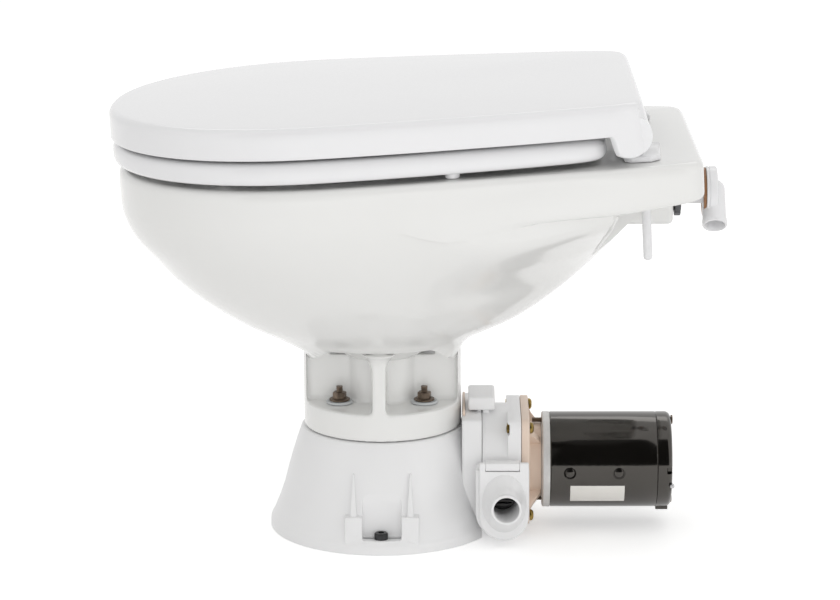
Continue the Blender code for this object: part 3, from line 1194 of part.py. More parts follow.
def build_pump_housing():
    front = REAR_PLATE_REAR + PUMP_SEAL + CLEARANCE * 2.0
    rear = PUMP_FLANGE_REAR
    housing = rod("pump_housing", (0.0, front, AXIS_HEIGHT), (0.0, PUMP_FLANGE_FRONT + BURY, AXIS_HEIGHT),
                  PUMP_BODY_RADIUS, BASE_PLASTIC, steps=ROUND_STEPS)
    join(housing, flange_plate("pump_flange", PUMP_FLANGE_FRONT, rear))
    lug_bottom = AXIS_HEIGHT + PUMP_BODY_RADIUS - BURY * 2.0
    lug = block("pump_lug", (-LUG_HALF_WIDTH, front + CLEARANCE, lug_bottom),
                (LUG_HALF_WIDTH, front + PUMP_LUG_DEPTH, LUG_TOP))
    join(housing, lug)
    neck = plate("outlet_neck", u_outline(BLOCK_HALF_WIDTH - BURY, BLOCK_TOP - BURY, BLOCK_ROUND_HEIGHT),
                 ((BLOCK_NECK_INNER + BLOCK_FACE) / 2.0, 0.0, 0.0), BLOCK_FACE - BLOCK_NECK_INNER, Y_AXIS,
                 Z_AXIS)
    side = block("neck_limit", (0.0, front + CLEARANCE, 0.0), (BLOCK_FACE, rear, BLOCK_TOP))
    boolean(neck, side, "INTERSECT")
    join(housing, neck)
    outer = plate("outlet_block", u_outline(BLOCK_HALF_WIDTH, BLOCK_TOP, BLOCK_ROUND_HEIGHT),
                  ((BLOCK_INNER + BLOCK_FACE) / 2.0, 0.0, 0.0), BLOCK_FACE - BLOCK_INNER, Y_AXIS, Z_AXIS)
    join(housing, outer)
    chamber = rod("pump_chamber", (0.0, front + PUMP_FRONT_WALL, AXIS_HEIGHT),
                  (0.0, rear + OVERRUN, AXIS_HEIGHT), CHAMBER_RADIUS, steps=ROUND_STEPS)
    cut(housing, chamber)
    cut(housing, rod("pump_inlet", (0.0, front - OVERRUN, AXIS_HEIGHT),
                     (0.0, front + PUMP_FRONT_WALL + OVERRUN, AXIS_HEIGHT), DUCT_BORE))
    cut(housing, rod("pump_outlet", (BLOCK_NECK_INNER, BLOCK_Y, PORT_BORE_HEIGHT),
                     (BLOCK_FACE + OVERRUN, BLOCK_Y, PORT_BORE_HEIGHT), PORT_BORE - CLEARANCE))
    seat_depth = VALVE_FLANGE + CLEARANCE * 2.0
    cut(housing, rod("valve_seat", (BLOCK_FACE - seat_depth, BLOCK_Y, PORT_BORE_HEIGHT),
                     (BLOCK_FACE + OVERRUN, BLOCK_Y, PORT_BORE_HEIGHT), VALVE_FLANGE_RADIUS + CLEARANCE))
    cut(housing, retainer_slot("housing_slot"))
    for index, (x, z) in enumerate(screw_places()):
        cut(housing, rod(f"flange_hole_{index}", (x, PUMP_FLANGE_FRONT - OVERRUN, z), (x, rear + OVERRUN, z),
                         SCREW_HOLE, steps=FASTENER_STEPS))
    ring("pump_seal", (0.0, REAR_PLATE_REAR + CLEARANCE, AXIS_HEIGHT),
         (0.0, REAR_PLATE_REAR + CLEARANCE + PUMP_SEAL, AXIS_HEIGHT), PUMP_BODY_RADIUS - PUMP_SEAL,
         PUMP_BODY_RADIUS - PUMP_SEAL - PUMP_SEAL_WIDTH, RUBBER, ROUND_STEPS)
    return housing


def retainer_slot(name):
    """The notch that the retainer slides into, through block and port plate."""
    gap = CLEARANCE
    return block(name, (RETAINER_INNER - gap, BLOCK_Y - RETAINER_HALF_WIDTH - gap, RETAINER_BOTTOM - gap),
                 (PORT_PLATE_FACE + OVERRUN, BLOCK_Y + RETAINER_HALF_WIDTH + gap, BLOCK_TOP + OVERRUN))


def build_discharge():
    """Port plate with its tapered nozzle, the retainer above it, and the rubber valve inside."""
    back = BLOCK_FACE + CLEARANCE
    margin = BLOCK_HALF_WIDTH + PORT_PLATE_MARGIN
    port = plate("discharge_port", u_outline(margin, BLOCK_TOP, BLOCK_ROUND_HEIGHT),
                 ((back + PORT_PLATE_FACE) / 2.0, 0.0, 0.0), PORT_PLATE_FACE - back, Y_AXIS, Z_AXIS,
                 BASE_PLASTIC)
    oval_centre = (PORT_OVAL_LOW + PORT_OVAL_HIGH) / 2.0
    oval_half = (PORT_OVAL_HIGH - PORT_OVAL_LOW) / 2.0
    rings = []
    for along in (0.0, 0.5, 1.0):
        ease = along * along * (3.0 - 2.0 * along)
        x = between(PORT_PLATE_FACE - BURY, NOZZLE_START, along)
        height = between(oval_centre, PORT_BORE_HEIGHT, ease)
        wide = between(PORT_OVAL_HALF_WIDTH, NOZZLE_RADIUS, ease)
        tall = between(oval_half, NOZZLE_RADIUS, ease)
        rings.append(oval_ring(x, height, wide, tall))
    rings.append(oval_ring(NOZZLE_END, PORT_BORE_HEIGHT, NOZZLE_RADIUS, NOZZLE_RADIUS))
    join(port, loft("nozzle", rings))
    cut(port, rod("nozzle_bore", (back - OVERRUN, BLOCK_Y, PORT_BORE_HEIGHT),
                  (NOZZLE_END + OVERRUN, BLOCK_Y, PORT_BORE_HEIGHT), PORT_BORE))
    cut(port, retainer_slot("port_slot"))
    block("port_retainer", (RETAINER_INNER, BLOCK_Y - RETAINER_HALF_WIDTH, RETAINER_BOTTOM),
          (PORT_PLATE_FACE, BLOCK_Y + RETAINER_HALF_WIDTH, BLOCK_TOP), BASE_PLASTIC)
    start = BLOCK_FACE - VALVE_FLANGE - CLEARANCE
    flange_end = start + VALVE_FLANGE
    tip = flange_end + VALVE_LENGTH
    lip_width = VALVE_RADIUS - VALVE_WALL / 2.0
    outside = [oval_ring(start, PORT_BORE_HEIGHT, VALVE_FLANGE_RADIUS, VALVE_FLANGE_RADIUS),
               oval_ring(flange_end, PORT_BORE_HEIGHT, VALVE_FLANGE_RADIUS, VALVE_FLANGE_RADIUS),
               oval_ring(flange_end, PORT_BORE_HEIGHT, VALVE_RADIUS, VALVE_RADIUS),
               oval_ring(tip, PORT_BORE_HEIGHT, lip_width, VALVE_LIP_HALF_HEIGHT)]
    slit = VALVE_LIP_HALF_HEIGHT - VALVE_WALL
    bore = VALVE_RADIUS - VALVE_WALL
    inside = [oval_ring(tip, PORT_BORE_HEIGHT, lip_width - VALVE_WALL, slit),
              oval_ring(start, PORT_BORE_HEIGHT, bore, bore)]
    loft("joker_valve", outside + inside, RUBBER, closed=True)


def oval_ring(x, height, wide, tall):
    """Points round an oval that faces +X at the block's middle."""
    points = []
    for step in range(SMALL_STEPS):
        angle = 2.0 * math.pi * step / SMALL_STEPS
        points.append(Vector((x, BLOCK_Y + wide * math.cos(angle), height + tall * math.sin(angle))))
    return points


def build_clip():
    """Inverted U over the two lugs, with the spacer in front of it."""
    base_lug_front = REAR_PLATE_REAR - BASE_LUG_DEPTH
    pump_lug_rear = REAR_PLATE_REAR + PUMP_SEAL + CLEARANCE * 2.0 + PUMP_LUG_DEPTH
    slot_front = base_lug_front - CLEARANCE
    slot_rear = pump_lug_rear + CLEARANCE
    front = slot_front - CLIP_FRONT_LEG
    rear = slot_rear + CLIP_REAR_LEG
    bottom = AXIS_HEIGHT + PUMP_BODY_RADIUS + CLEARANCE
    clip = block("lock_clip", (-CLIP_HALF_WIDTH, front, bottom), (CLIP_HALF_WIDTH, rear, CLIP_TOP),
                 BASE_PLASTIC, edge=CLIP_EDGE, segments=1)
    cut(clip, block("clip_slot", (-LUG_HALF_WIDTH - CLEARANCE, slot_front, bottom - OVERRUN),
                    (LUG_HALF_WIDTH + CLEARANCE, slot_rear, LUG_TOP + CLEARANCE)))
    spacer_rear = front - CLEARANCE
    spacer = block("clip_spacer", (-CLIP_SPACER_HALF_WIDTH, CLIP_SPACER_FRONT, REAR_PLATE_TOP + CLEARANCE),
                   (CLIP_SPACER_HALF_WIDTH, spacer_rear, CLIP_SPACER_TOP), ADAPTER_PLASTIC)
    return clip, spacer


def build_macerator():
    """Chopper, wear plate, impeller, their shaft and the lip seal behind them."""
    bore = SHAFT_RADIUS + CLEARANCE
    chopper_rear = CHOPPER_FRONT + CHOPPER_THICKNESS
    chopper = ring("chopper_blade", (0.0, CHOPPER_FRONT, AXIS_HEIGHT), (0.0, chopper_rear, AXIS_HEIGHT),
                   CHOPPER_RADIUS, bore, STEEL, ROUND_STEPS)
    for side, sign in (("low", -1.0), ("high", 1.0)):
        reach = CHOPPER_RADIUS + OVERRUN
        near, far = sorted((sign * CHOPPER_HALF_WIDTH, sign * reach))
        trim = block("chopper_trim_" + side, (-reach, CHOPPER_FRONT - OVERRUN, AXIS_HEIGHT + near),
                     (reach, chopper_rear + OVERRUN, AXIS_HEIGHT + far))
        cut(chopper, trim)
    plate_front = chopper_rear + WEAR_PLATE_GAP
    plate_rear = plate_front + WEAR_PLATE_THICKNESS
    wear_plate = ring("wear_plate", (0.0, plate_front, AXIS_HEIGHT), (0.0, plate_rear, AXIS_HEIGHT),
                      CHAMBER_RADIUS - CLEARANCE * 2.0, WEAR_PLATE_HOLE, STEEL, ROUND_STEPS)
    for index in range(WEAR_PLATE_PORTS):
        angle = 2.0 * math.pi * (index + 0.5) / WEAR_PLATE_PORTS
        x = WEAR_PLATE_PORT_CIRCLE * math.cos(angle)
        z = AXIS_HEIGHT + WEAR_PLATE_PORT_CIRCLE * math.sin(angle)
        port = rod(f"wear_port_{index}", (x, plate_front - OVERRUN, z), (x, plate_rear + OVERRUN, z),
                   WEAR_PLATE_PORT_RADIUS, steps=FASTENER_STEPS)
        cut(wear_plate, port)
    vane_front = plate_rear + IMPELLER_GAP
    vane_rear = vane_front + IMPELLER_VANE_DEPTH
    impeller = ring("impeller", (0.0, vane_rear - BURY / 2.0, AXIS_HEIGHT),
                    (0.0, vane_rear + IMPELLER_BACK, AXIS_HEIGHT), IMPELLER_RADIUS, bore, NUT_GREY,
                    ROUND_STEPS)
    join(impeller, ring_tool("impeller_hub", vane_front, vane_rear, IMPELLER_HUB, bore))
    for index in range(IMPELLER_VANES):
        middle = Vector((0.0, (vane_front + vane_rear) / 2.0, AXIS_HEIGHT))
        vane = plate(f"impeller_vane_{index}", vane_outline(index), middle, vane_rear - vane_front, Z_AXIS,
                     X_AXIS)
        join(impeller, vane)
    seal_front = PUMP_FLANGE_REAR + CLEARANCE
    seal = ring("lip_seal", (0.0, seal_front, AXIS_HEIGHT), (0.0, seal_front + ADAPTER_PLATE, AXIS_HEIGHT),
                LIP_SEAL_RADIUS, bore, RUBBER)
    shaft = rod("rotor_shaft", (0.0, SHAFT_FRONT, AXIS_HEIGHT), (0.0, SHAFT_REAR, AXIS_HEIGHT), SHAFT_RADIUS,
                STEEL)
    nut_rear = CHOPPER_FRONT - CLEARANCE
    nut = rod("chopper_nut", (0.0, nut_rear - CHOPPER_NUT, AXIS_HEIGHT), (0.0, nut_rear, AXIS_HEIGHT),
              CHOPPER_NUT_RADIUS, steps=NUT_SIDES)
    join(shaft, nut)
    for piece in (chopper, impeller, shaft, nut):
        on_rotor(piece)
    return seal


def ring_tool(name, front, rear, outer, inner):
    return ring(name, (0.0, front, AXIS_HEIGHT), (0.0, rear, AXIS_HEIGHT), outer, inner, None)


def vane_outline(index, steps=2):
    """A swept vane from the hub to the rim of the impeller."""
    start = 2.0 * math.pi * index / IMPELLER_VANES
    half = IMPELLER_VANE_THICKNESS / 2.0
    inner = IMPELLER_HUB - BURY / 2.0
    centre_line = []
    for step in range(steps + 1):
        share = step / steps
        radius = between(inner, IMPELLER_RADIUS - CLEARANCE, share)
        angle = start + IMPELLER_SWEEP * share
        centre_line.append(Vector((radius * math.cos(angle), radius * math.sin(angle))))
    one, other = [], []
    for step, point in enumerate(centre_line):
        before = centre_line[max(step - 1, 0)]
        after = centre_line[min(step + 1, steps)]
        along = (after - before).normalized()
        offset = Vector((-along.y, along.x)) * half
        one.append(point + offset)
        other.append(point - offset)
    return [(point.x, point.y) for point in one + other[::-1]]


def on_rotor(piece):
    """Hang a piece on the empty at the rotor's axis, where it already lies."""
    place = piece.matrix_basis.copy()
    piece.parent = ROTOR_FRAME
    piece.matrix_basis = Matrix.Translation(-AXIS) @ place


def build_adapter():
    """Beige plate with a hub and four diagonal ribs, and its brass screws and nuts."""
    front = PUMP_FLANGE_REAR + CLEARANCE
    plate_rear = front + ADAPTER_PLATE
    adapter = flange_plate("motor_adapter", front, plate_rear, ADAPTER_PLASTIC)
    join(adapter, rod("adapter_hub", (0.0, plate_rear - BURY, AXIS_HEIGHT), (0.0, ADAPTER_REAR, AXIS_HEIGHT),
                      ADAPTER_HUB, steps=ROUND_STEPS))
    hub_reach = ADAPTER_HUB - BURY
    for index in range(4):
        angle = math.pi / 4.0 + math.pi / 2.0 * index
        out = Vector((math.cos(angle), 0.0, math.sin(angle)))
        rib_reach = SCREW_OFFSET * math.sqrt(2.0) - SCREW_HEAD_RADIUS
        rib_rear = ADAPTER_REAR - BURY / 3.0
        rib = [(hub_reach, plate_rear - BURY), (rib_reach, plate_rear - BURY),
               (hub_reach + BURY * 2.0, rib_rear), (hub_reach, rib_rear)]
        join(adapter, plate(f"adapter_rib_{index}", rib, AXIS, ADAPTER_RIB, out, Y_AXIS))
    cut(adapter, rod("adapter_bore", (0.0, front - OVERRUN, AXIS_HEIGHT),
                     (0.0, ADAPTER_REAR + OVERRUN, AXIS_HEIGHT), LIP_SEAL_RADIUS + CLEARANCE))
    head_front = plate_rear + CLEARANCE
    nut_rear = PUMP_FLANGE_FRONT - CLEARANCE
    for index, (x, z) in enumerate(screw_places()):
        cut(adapter, rod(f"adapter_hole_{index}", (x, front - OVERRUN, z), (x, plate_rear + OVERRUN, z),
                         SCREW_HOLE, steps=FASTENER_STEPS))
        in_block = x > 0.0 and z < AXIS_HEIGHT
        tip = PUMP_FLANGE_FRONT if in_block else nut_rear - SCREW_NUT - SCREW_TAIL
        profile = [(0.0, SCREW_HEAD), (SCREW_HEAD_RADIUS / 2.0, SCREW_HEAD),
                   (SCREW_HEAD_RADIUS, SCREW_HEAD / 2.0), (SCREW_HEAD_RADIUS, 0.0), (SCREW_RADIUS, 0.0),
                   (SCREW_RADIUS, tip - head_front), (0.0, tip - head_front)]
        bolt = turned(f"adapter_bolt_{index + 1}", profile, (x, head_front, z), Y_AXIS, BRASS,
                      FASTENER_STEPS)
        if not in_block:
            join(bolt, rod(f"adapter_nut_{index + 1}", (x, nut_rear - SCREW_NUT, z), (x, nut_rear, z),
                           SCREW_NUT_RADIUS, steps=NUT_SIDES))
    return adapter


def build_motor_shell():
    """Front plate, can, end bell, through bolts and the two bearings."""
    front_plate = ring("motor_front_plate", (0.0, FRONT_PLATE_FRONT, AXIS_HEIGHT),
                       (0.0, FRONT_PLATE_REAR, AXIS_HEIGHT), MOTOR_RADIUS, BEARING_RADIUS + CLEARANCE,
                       GREY_CAST, ROUND_STEPS)
    bearing_front = FRONT_PLATE_REAR - BEARING_WIDTH
    bore = SHAFT_RADIUS + CLEARANCE
    ring("front_bearing", (0.0, bearing_front, AXIS_HEIGHT), (0.0, FRONT_PLATE_REAR, AXIS_HEIGHT),
         BEARING_RADIUS, bore, STEEL)
    can_front = FRONT_PLATE_REAR + CLEARANCE
    ring("motor_can", (0.0, can_front, AXIS_HEIGHT), (0.0, CAN_REAR, AXIS_HEIGHT), MOTOR_RADIUS,
         MOTOR_RADIUS - MOTOR_WALL, MOTOR_BLACK, ROUND_STEPS)
    bell_front = CAN_REAR + CLEARANCE
    length = END_BELL_REAR - bell_front
    pocket = REAR_BEARING_RADIUS + CLEARANCE
    floor = length - END_BELL_WALL
    boss = pocket + END_BELL_WALL
    inner = MOTOR_RADIUS - END_BELL_WALL
    soft = END_BELL_ROUND * SOFT_SHARE
    profile = [(0.0, length), (MOTOR_RADIUS - END_BELL_ROUND, length),
               (MOTOR_RADIUS - soft, length - soft),
               (MOTOR_RADIUS, length - END_BELL_ROUND), (MOTOR_RADIUS, 0.0), (inner, 0.0), (inner, floor),
               (boss, floor), (boss, floor - REAR_BEARING_WIDTH), (pocket, floor - REAR_BEARING_WIDTH),
               (pocket, floor), (0.0, floor)]
    bell = turned("motor_end_bell", profile, (0.0, bell_front, AXIS_HEIGHT), Y_AXIS, MOTOR_BLACK)
    join(bell, block("motor_foot", (-FOOT_TAB_HALF_WIDTH, bell_front, FOOT_TAB_BOTTOM),
                     (FOOT_TAB_HALF_WIDTH, END_BELL_REAR - END_BELL_ROUND, FOOT_TAB_TOP)))
    bearing_rear = bell_front + floor - CLEARANCE
    ring("rear_bearing", (0.0, bearing_rear - REAR_BEARING_WIDTH, AXIS_HEIGHT),
         (0.0, bearing_rear, AXIS_HEIGHT), REAR_BEARING_RADIUS, bore, STEEL)
    for where, sign in (("upper", 1.0), ("lower", -1.0)):
        z = AXIS_HEIGHT + sign * THROUGH_BOLT_OFFSET
        for target, low, high in ((front_plate, FRONT_PLATE_FRONT, FRONT_PLATE_REAR),
                                  (bell, bell_front + BURY, END_BELL_REAR)):
            cut(target, rod(f"{target.name}_hole_{where}", (0.0, low - OVERRUN, z), (0.0, high + OVERRUN, z),
                            THROUGH_BOLT_RADIUS + CLEARANCE, steps=FASTENER_STEPS))
        head_front = END_BELL_REAR + CLEARANCE
        head_rear = head_front + THROUGH_BOLT_HEAD
        bolt = rod("through_bolt_" + where, (0.0, THROUGH_BOLT_TIP, z),
                   (0.0, (head_front + head_rear) / 2.0, z), THROUGH_BOLT_RADIUS, DARK_STEEL,
                   steps=FASTENER_STEPS)
        join(bolt, rod("through_head_" + where, (0.0, head_front, z), (0.0, head_rear, z),
                       THROUGH_BOLT_HEAD_RADIUS, steps=FASTENER_STEPS))


def core_outline():
    """Round core with slots, as one outline."""
    points = []
    half = math.asin(CORE_SLOT_WIDTH / 2.0 / CORE_RADIUS)
    floor = CORE_RADIUS - CORE_SLOT_DEPTH
    floor_half = math.asin(CORE_SLOT_WIDTH / 2.0 / floor)
    pitch = 2.0 * math.pi / CORE_SLOTS
    for slot in range(CORE_SLOTS):
        centre = slot * pitch
        for radius, angle in ((CORE_RADIUS, centre - half), (floor, centre - floor_half),
                              (floor, centre + floor_half), (CORE_RADIUS, centre + half)):
            points.append((radius * math.cos(angle), radius * math.sin(angle)))
        for share in (1.0 / 3.0, 2.0 / 3.0):
            angle = between(centre + half, centre + pitch - half, share)
            points.append((CORE_RADIUS * math.cos(angle), CORE_RADIUS * math.sin(angle)))
    return points


def build_rotor():
    """Armature core, end windings and commutator."""
    bore = SHAFT_RADIUS + CLEARANCE
    middle = Vector((0.0, (CORE_FRONT + CORE_REAR) / 2.0, AXIS_HEIGHT))
    core = plate("armature", core_outline(), middle, CORE_REAR - CORE_FRONT, Z_AXIS, X_AXIS, CORE_STEEL)
    for name, front, rear in (("front", CORE_FRONT - WINDING_LENGTH, CORE_FRONT + BURY),
                              ("rear", CORE_REAR - BURY, CORE_REAR + WINDING_LENGTH)):
        winding = rod("winding_" + name, (0.0, front, AXIS_HEIGHT), (0.0, rear, AXIS_HEIGHT), WINDING_RADIUS)
        join(core, winding)
    cut(core, rod("core_bore", (0.0, CORE_FRONT - WINDING_LENGTH - OVERRUN, AXIS_HEIGHT),
                  (0.0, CORE_REAR + WINDING_LENGTH + OVERRUN, AXIS_HEIGHT), bore))
    commutator = ring("commutator", (0.0, COMMUTATOR_FRONT, AXIS_HEIGHT),
                      (0.0, COMMUTATOR_REAR, AXIS_HEIGHT), COMMUTATOR_RADIUS, bore, COPPER)
    for piece in (core, commutator):
        on_rotor(piece)


def magnet_outline(sign, steps=6):
    outer, inner = [], []
    radius = MOTOR_RADIUS - MOTOR_WALL - CLEARANCE * 2.0
    for step in range(steps + 1):
        angle = math.pi / 2.0 * sign + between(-MAGNET_HALF_ANGLE, MAGNET_HALF_ANGLE, step / steps)
        outer.append((radius * math.cos(angle), radius * math.sin(angle)))
        inner.append((MAGNET_INNER * math.cos(angle), MAGNET_INNER * math.sin(angle)))
    return outer + inner[::-1]


def build_field():
    """Magnets, brush card with holders, brushes and their springs."""
    front = CORE_FRONT - MAGNET_OVERLAP
    rear = CORE_REAR + MAGNET_OVERLAP
    middle = Vector((0.0, (front + rear) / 2.0, AXIS_HEIGHT))
    for side, sign in (("left", -1.0), ("right", 1.0)):
        plate("magnet_" + side, magnet_outline(sign), middle, rear - front, Z_AXIS, X_AXIS, FERRITE)
    card = ring("brush_card", (0.0, CARD_FRONT, AXIS_HEIGHT),
                (0.0, CARD_FRONT + CARD_THICKNESS, AXIS_HEIGHT), MOTOR_RADIUS - MOTOR_WALL - CLEARANCE * 2.0,
                CARD_HOLE, CARD, ROUND_STEPS)
    for where, sign in (("upper", 1.0), ("lower", -1.0)):
        z = AXIS_HEIGHT + sign * THROUGH_BOLT_OFFSET
        cut(card, rod("card_hole_" + where, (0.0, CARD_FRONT - OVERRUN, z), (0.0, CARD_FRONT + OVERRUN, z),
                      THROUGH_BOLT_RADIUS + CLEARANCE, steps=FASTENER_STEPS))
    half_width = BRUSH_WIDTH / 2.0
    gap = CLEARANCE
    for side, sign in (("left", -1.0), ("right", 1.0)):
        low, high = sorted((sign * HOLDER_INNER, sign * HOLDER_OUTER))
        outer_half = half_width + gap + HOLDER_WALL
        tall = BRUSH_HALF_HEIGHT + gap + HOLDER_WALL
        holder = block("holder_" + side, (low, BRUSH_Y - outer_half, AXIS_HEIGHT - tall),
                       (high, CARD_FRONT + CARD_THICKNESS / 2.0, AXIS_HEIGHT + tall))
        join(card, holder)
        wide = half_width + gap
        high_room = BRUSH_HALF_HEIGHT + gap
        low, high = sorted((sign * (HOLDER_INNER - OVERRUN), sign * (HOLDER_OUTER - HOLDER_WALL)))
        channel = block("holder_channel_" + side, (low, BRUSH_Y - wide, AXIS_HEIGHT - high_room),
                        (high, BRUSH_Y + wide, AXIS_HEIGHT + high_room))
        cut(card, channel)
        tip = COMMUTATOR_RADIUS + CLEARANCE
        near, far = sorted((sign * tip, sign * (tip + BRUSH_LENGTH)))
        brush = block("brush_" + side, (near, BRUSH_Y - half_width, AXIS_HEIGHT - BRUSH_HALF_HEIGHT),
                      (far, BRUSH_Y + half_width, AXIS_HEIGHT + BRUSH_HALF_HEIGHT), CARBON)
        origin = Vector((sign * tip, BRUSH_Y, AXIS_HEIGHT))
        brush.data.transform(Matrix.Translation(-origin))
        brush.location = origin
        spring_start = tip + BRUSH_LENGTH + CLEARANCE + SPRING_WIRE
        spring_end = HOLDER_OUTER - HOLDER_WALL - CLEARANCE - SPRING_WIRE
        brush_spring("brush_spring_" + side, sign, spring_start, spring_end)


def brush_spring(name, sign, start, end):
    """A compression coil along X."""
    curve = bpy.data.curves.new(name, "CURVE")
    curve.dimensions = "3D"
    curve.bevel_depth = SPRING_WIRE
    curve.bevel_resolution = 0
    curve.use_fill_caps = True
    per_turn = 6
    count = SPRING_TURNS * per_turn + 1
    spline = curve.splines.new("POLY")
    spline.points.add(count - 1)
    for index, point in enumerate(spline.points):
        angle = 2.0 * math.pi * index / per_turn
        x = between(start, end, index / (count - 1))
        point.co = (sign * x, BRUSH_Y + SPRING_RADIUS * math.cos(angle),
                    AXIS_HEIGHT + SPRING_RADIUS * math.sin(angle), 1.0)
    curve.materials.append(STEEL)
    coil = bpy.data.objects.new(name, curve)
    PARTS.objects.link(coil)
    return coil


build_bowl()
build_bowl_fixings()
build_base()
build_seat()
build_lid()
build_hinges()
build_inlet()
build_pump_housing()
build_discharge()
build_clip()
build_macerator()
build_adapter()
build_motor_shell()
build_rotor()
build_field()
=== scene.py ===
# %% [markdown]
# # An electric marine toilet, dressed for the camera
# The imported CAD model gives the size, the place and the motion of every piece. This lesson keeps all
# three and makes the looks: smooth glazed ceramic, moulded plastic, a painted motor and small metal
# fasteners. Each piece is named for what it is on the real toilet.

# %% Start
import json
import math

import bmesh
import bpy
from mathutils import Matrix, Quaternion, Vector

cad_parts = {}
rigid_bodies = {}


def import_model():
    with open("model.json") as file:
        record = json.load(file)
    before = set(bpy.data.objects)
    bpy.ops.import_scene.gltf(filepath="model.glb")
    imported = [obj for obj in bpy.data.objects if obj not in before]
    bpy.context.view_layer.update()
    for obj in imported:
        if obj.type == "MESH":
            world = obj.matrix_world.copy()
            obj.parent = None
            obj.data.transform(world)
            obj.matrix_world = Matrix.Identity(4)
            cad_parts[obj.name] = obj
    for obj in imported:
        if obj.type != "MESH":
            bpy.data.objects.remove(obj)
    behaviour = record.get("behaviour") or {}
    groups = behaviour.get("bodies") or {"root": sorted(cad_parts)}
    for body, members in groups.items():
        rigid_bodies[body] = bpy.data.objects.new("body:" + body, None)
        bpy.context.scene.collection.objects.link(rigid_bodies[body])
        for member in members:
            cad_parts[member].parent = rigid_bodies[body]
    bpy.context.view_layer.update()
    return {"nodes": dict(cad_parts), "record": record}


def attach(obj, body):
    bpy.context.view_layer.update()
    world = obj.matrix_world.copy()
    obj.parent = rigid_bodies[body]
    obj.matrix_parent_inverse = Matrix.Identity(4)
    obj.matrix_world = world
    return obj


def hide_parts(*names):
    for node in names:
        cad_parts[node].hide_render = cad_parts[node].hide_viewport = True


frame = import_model()
nodes = frame["nodes"]

# %% [markdown]
# ## The camera
# The photograph is taken from the side of the toilet, with a long lens from far off, and looks down at it
# by about thirteen degrees. A long lens keeps the ovals of the rim and the base nearly flat. The camera is
# aimed by turning its own -Z axis along the line of sight, and then rolled by a third of a degree.

# %% Camera at the photograph's angle
PHOTO_WIDTH = 840
FOCAL_PIXELS = 3047.0
eye = Vector((2.490, 0.065, 0.790))
target = Vector((0.0, 0.032, 0.194))
lens = bpy.data.cameras.new("photo_camera")
lens.sensor_width = 36.0
lens.lens = FOCAL_PIXELS * lens.sensor_width / PHOTO_WIDTH
lens.clip_start, lens.clip_end = 0.05, 60.0
camera = bpy.data.objects.new("photo_camera", lens)
bpy.context.scene.collection.objects.link(camera)
aim = (target - eye).to_track_quat("-Z", "Y")
roll = Quaternion((0.0, 0.0, 1.0), math.radians(-0.3))
camera.location = eye
camera.rotation_euler = (aim @ roll).to_euler()
bpy.context.scene.camera = camera
print("lens", round(lens.lens, 1), "mm")

# %% [markdown]
# ## Floor, light and air
# A white object in a white room is lit from everywhere: most light comes from the room itself, and a few
# large weak lamps only lift the tops and the near side. The floor looks white to the camera, yet it still
# takes the soft shadow of the toilet. Glossy black paint shows what stands behind the camera, which in a
# studio is a dark curtain. The curtain here is seen in reflections and nowhere else.

# %% Light by kind of ray
def seen_directly(tree):
    """A value that is 1 for rays from the camera, from mirrors and through glass."""
    path = tree.nodes.new("ShaderNodeLightPath")
    first = tree.nodes.new("ShaderNodeMath")
    first.operation = "MAXIMUM"
    tree.links.new(path.outputs["Is Camera Ray"], first.inputs[0])
    tree.links.new(path.outputs["Is Transmission Ray"], first.inputs[1])
    second = tree.nodes.new("ShaderNodeMath")
    second.operation = "MAXIMUM"
    tree.links.new(first.outputs[0], second.inputs[0])
    tree.links.new(path.outputs["Is Glossy Ray"], second.inputs[1])
    return second.outputs[0]


# %% World
world = bpy.data.worlds.new("pale_room")
world.use_nodes = True
air = world.node_tree
background = air.nodes["Background"]
background.inputs["Color"].default_value = (1.0, 0.995, 0.985, 1.0)
background.inputs["Strength"].default_value = 0.72
white_air = air.nodes.new("ShaderNodeBackground")
white_air.inputs["Color"].default_value = (1.0, 1.0, 1.0, 1.0)
choose = air.nodes.new("ShaderNodeMixShader")
air.links.new(seen_directly(air), choose.inputs["Fac"])
air.links.new(background.outputs[0], choose.inputs[1])
air.links.new(white_air.outputs[0], choose.inputs[2])
air.links.new(choose.outputs[0], air.nodes["World Output"].inputs["Surface"])
bpy.context.scene.world = world
bpy.context.scene.view_settings.view_transform = "Standard"

# %% Floor
bpy.ops.mesh.primitive_plane_add(size=24.0)
floor = bpy.context.object
floor.name = "studio_floor"
sheet = bpy.data.materials.new("studio_floor")
sheet.use_nodes = True
paper = sheet.node_tree
shader = paper.nodes["Principled BSDF"]
shader.inputs["Base Color"].default_value = (0.90, 0.90, 0.90, 1.0)
shader.inputs["Roughness"].default_value = 0.9
glow = paper.nodes.new("ShaderNodeEmission")
glow.inputs["Color"].default_value = (1.0, 1.0, 1.0, 1.0)
lift = paper.nodes.new("ShaderNodeMath")
lift.operation = "MULTIPLY"
lift.inputs[1].default_value = 0.40
paper.links.new(seen_directly(paper), lift.inputs[0])
paper.links.new(lift.outputs[0], glow.inputs["Strength"])
both = paper.nodes.new("ShaderNodeAddShader")
paper.links.new(shader.outputs[0], both.inputs[0])
paper.links.new(glow.outputs[0], both.inputs[1])
paper.links.new(both.outputs[0], paper.nodes["Material Output"].inputs["Surface"])
floor.data.materials.append(sheet)
print("floor", tuple(round(side, 1) for side in floor.dimensions))

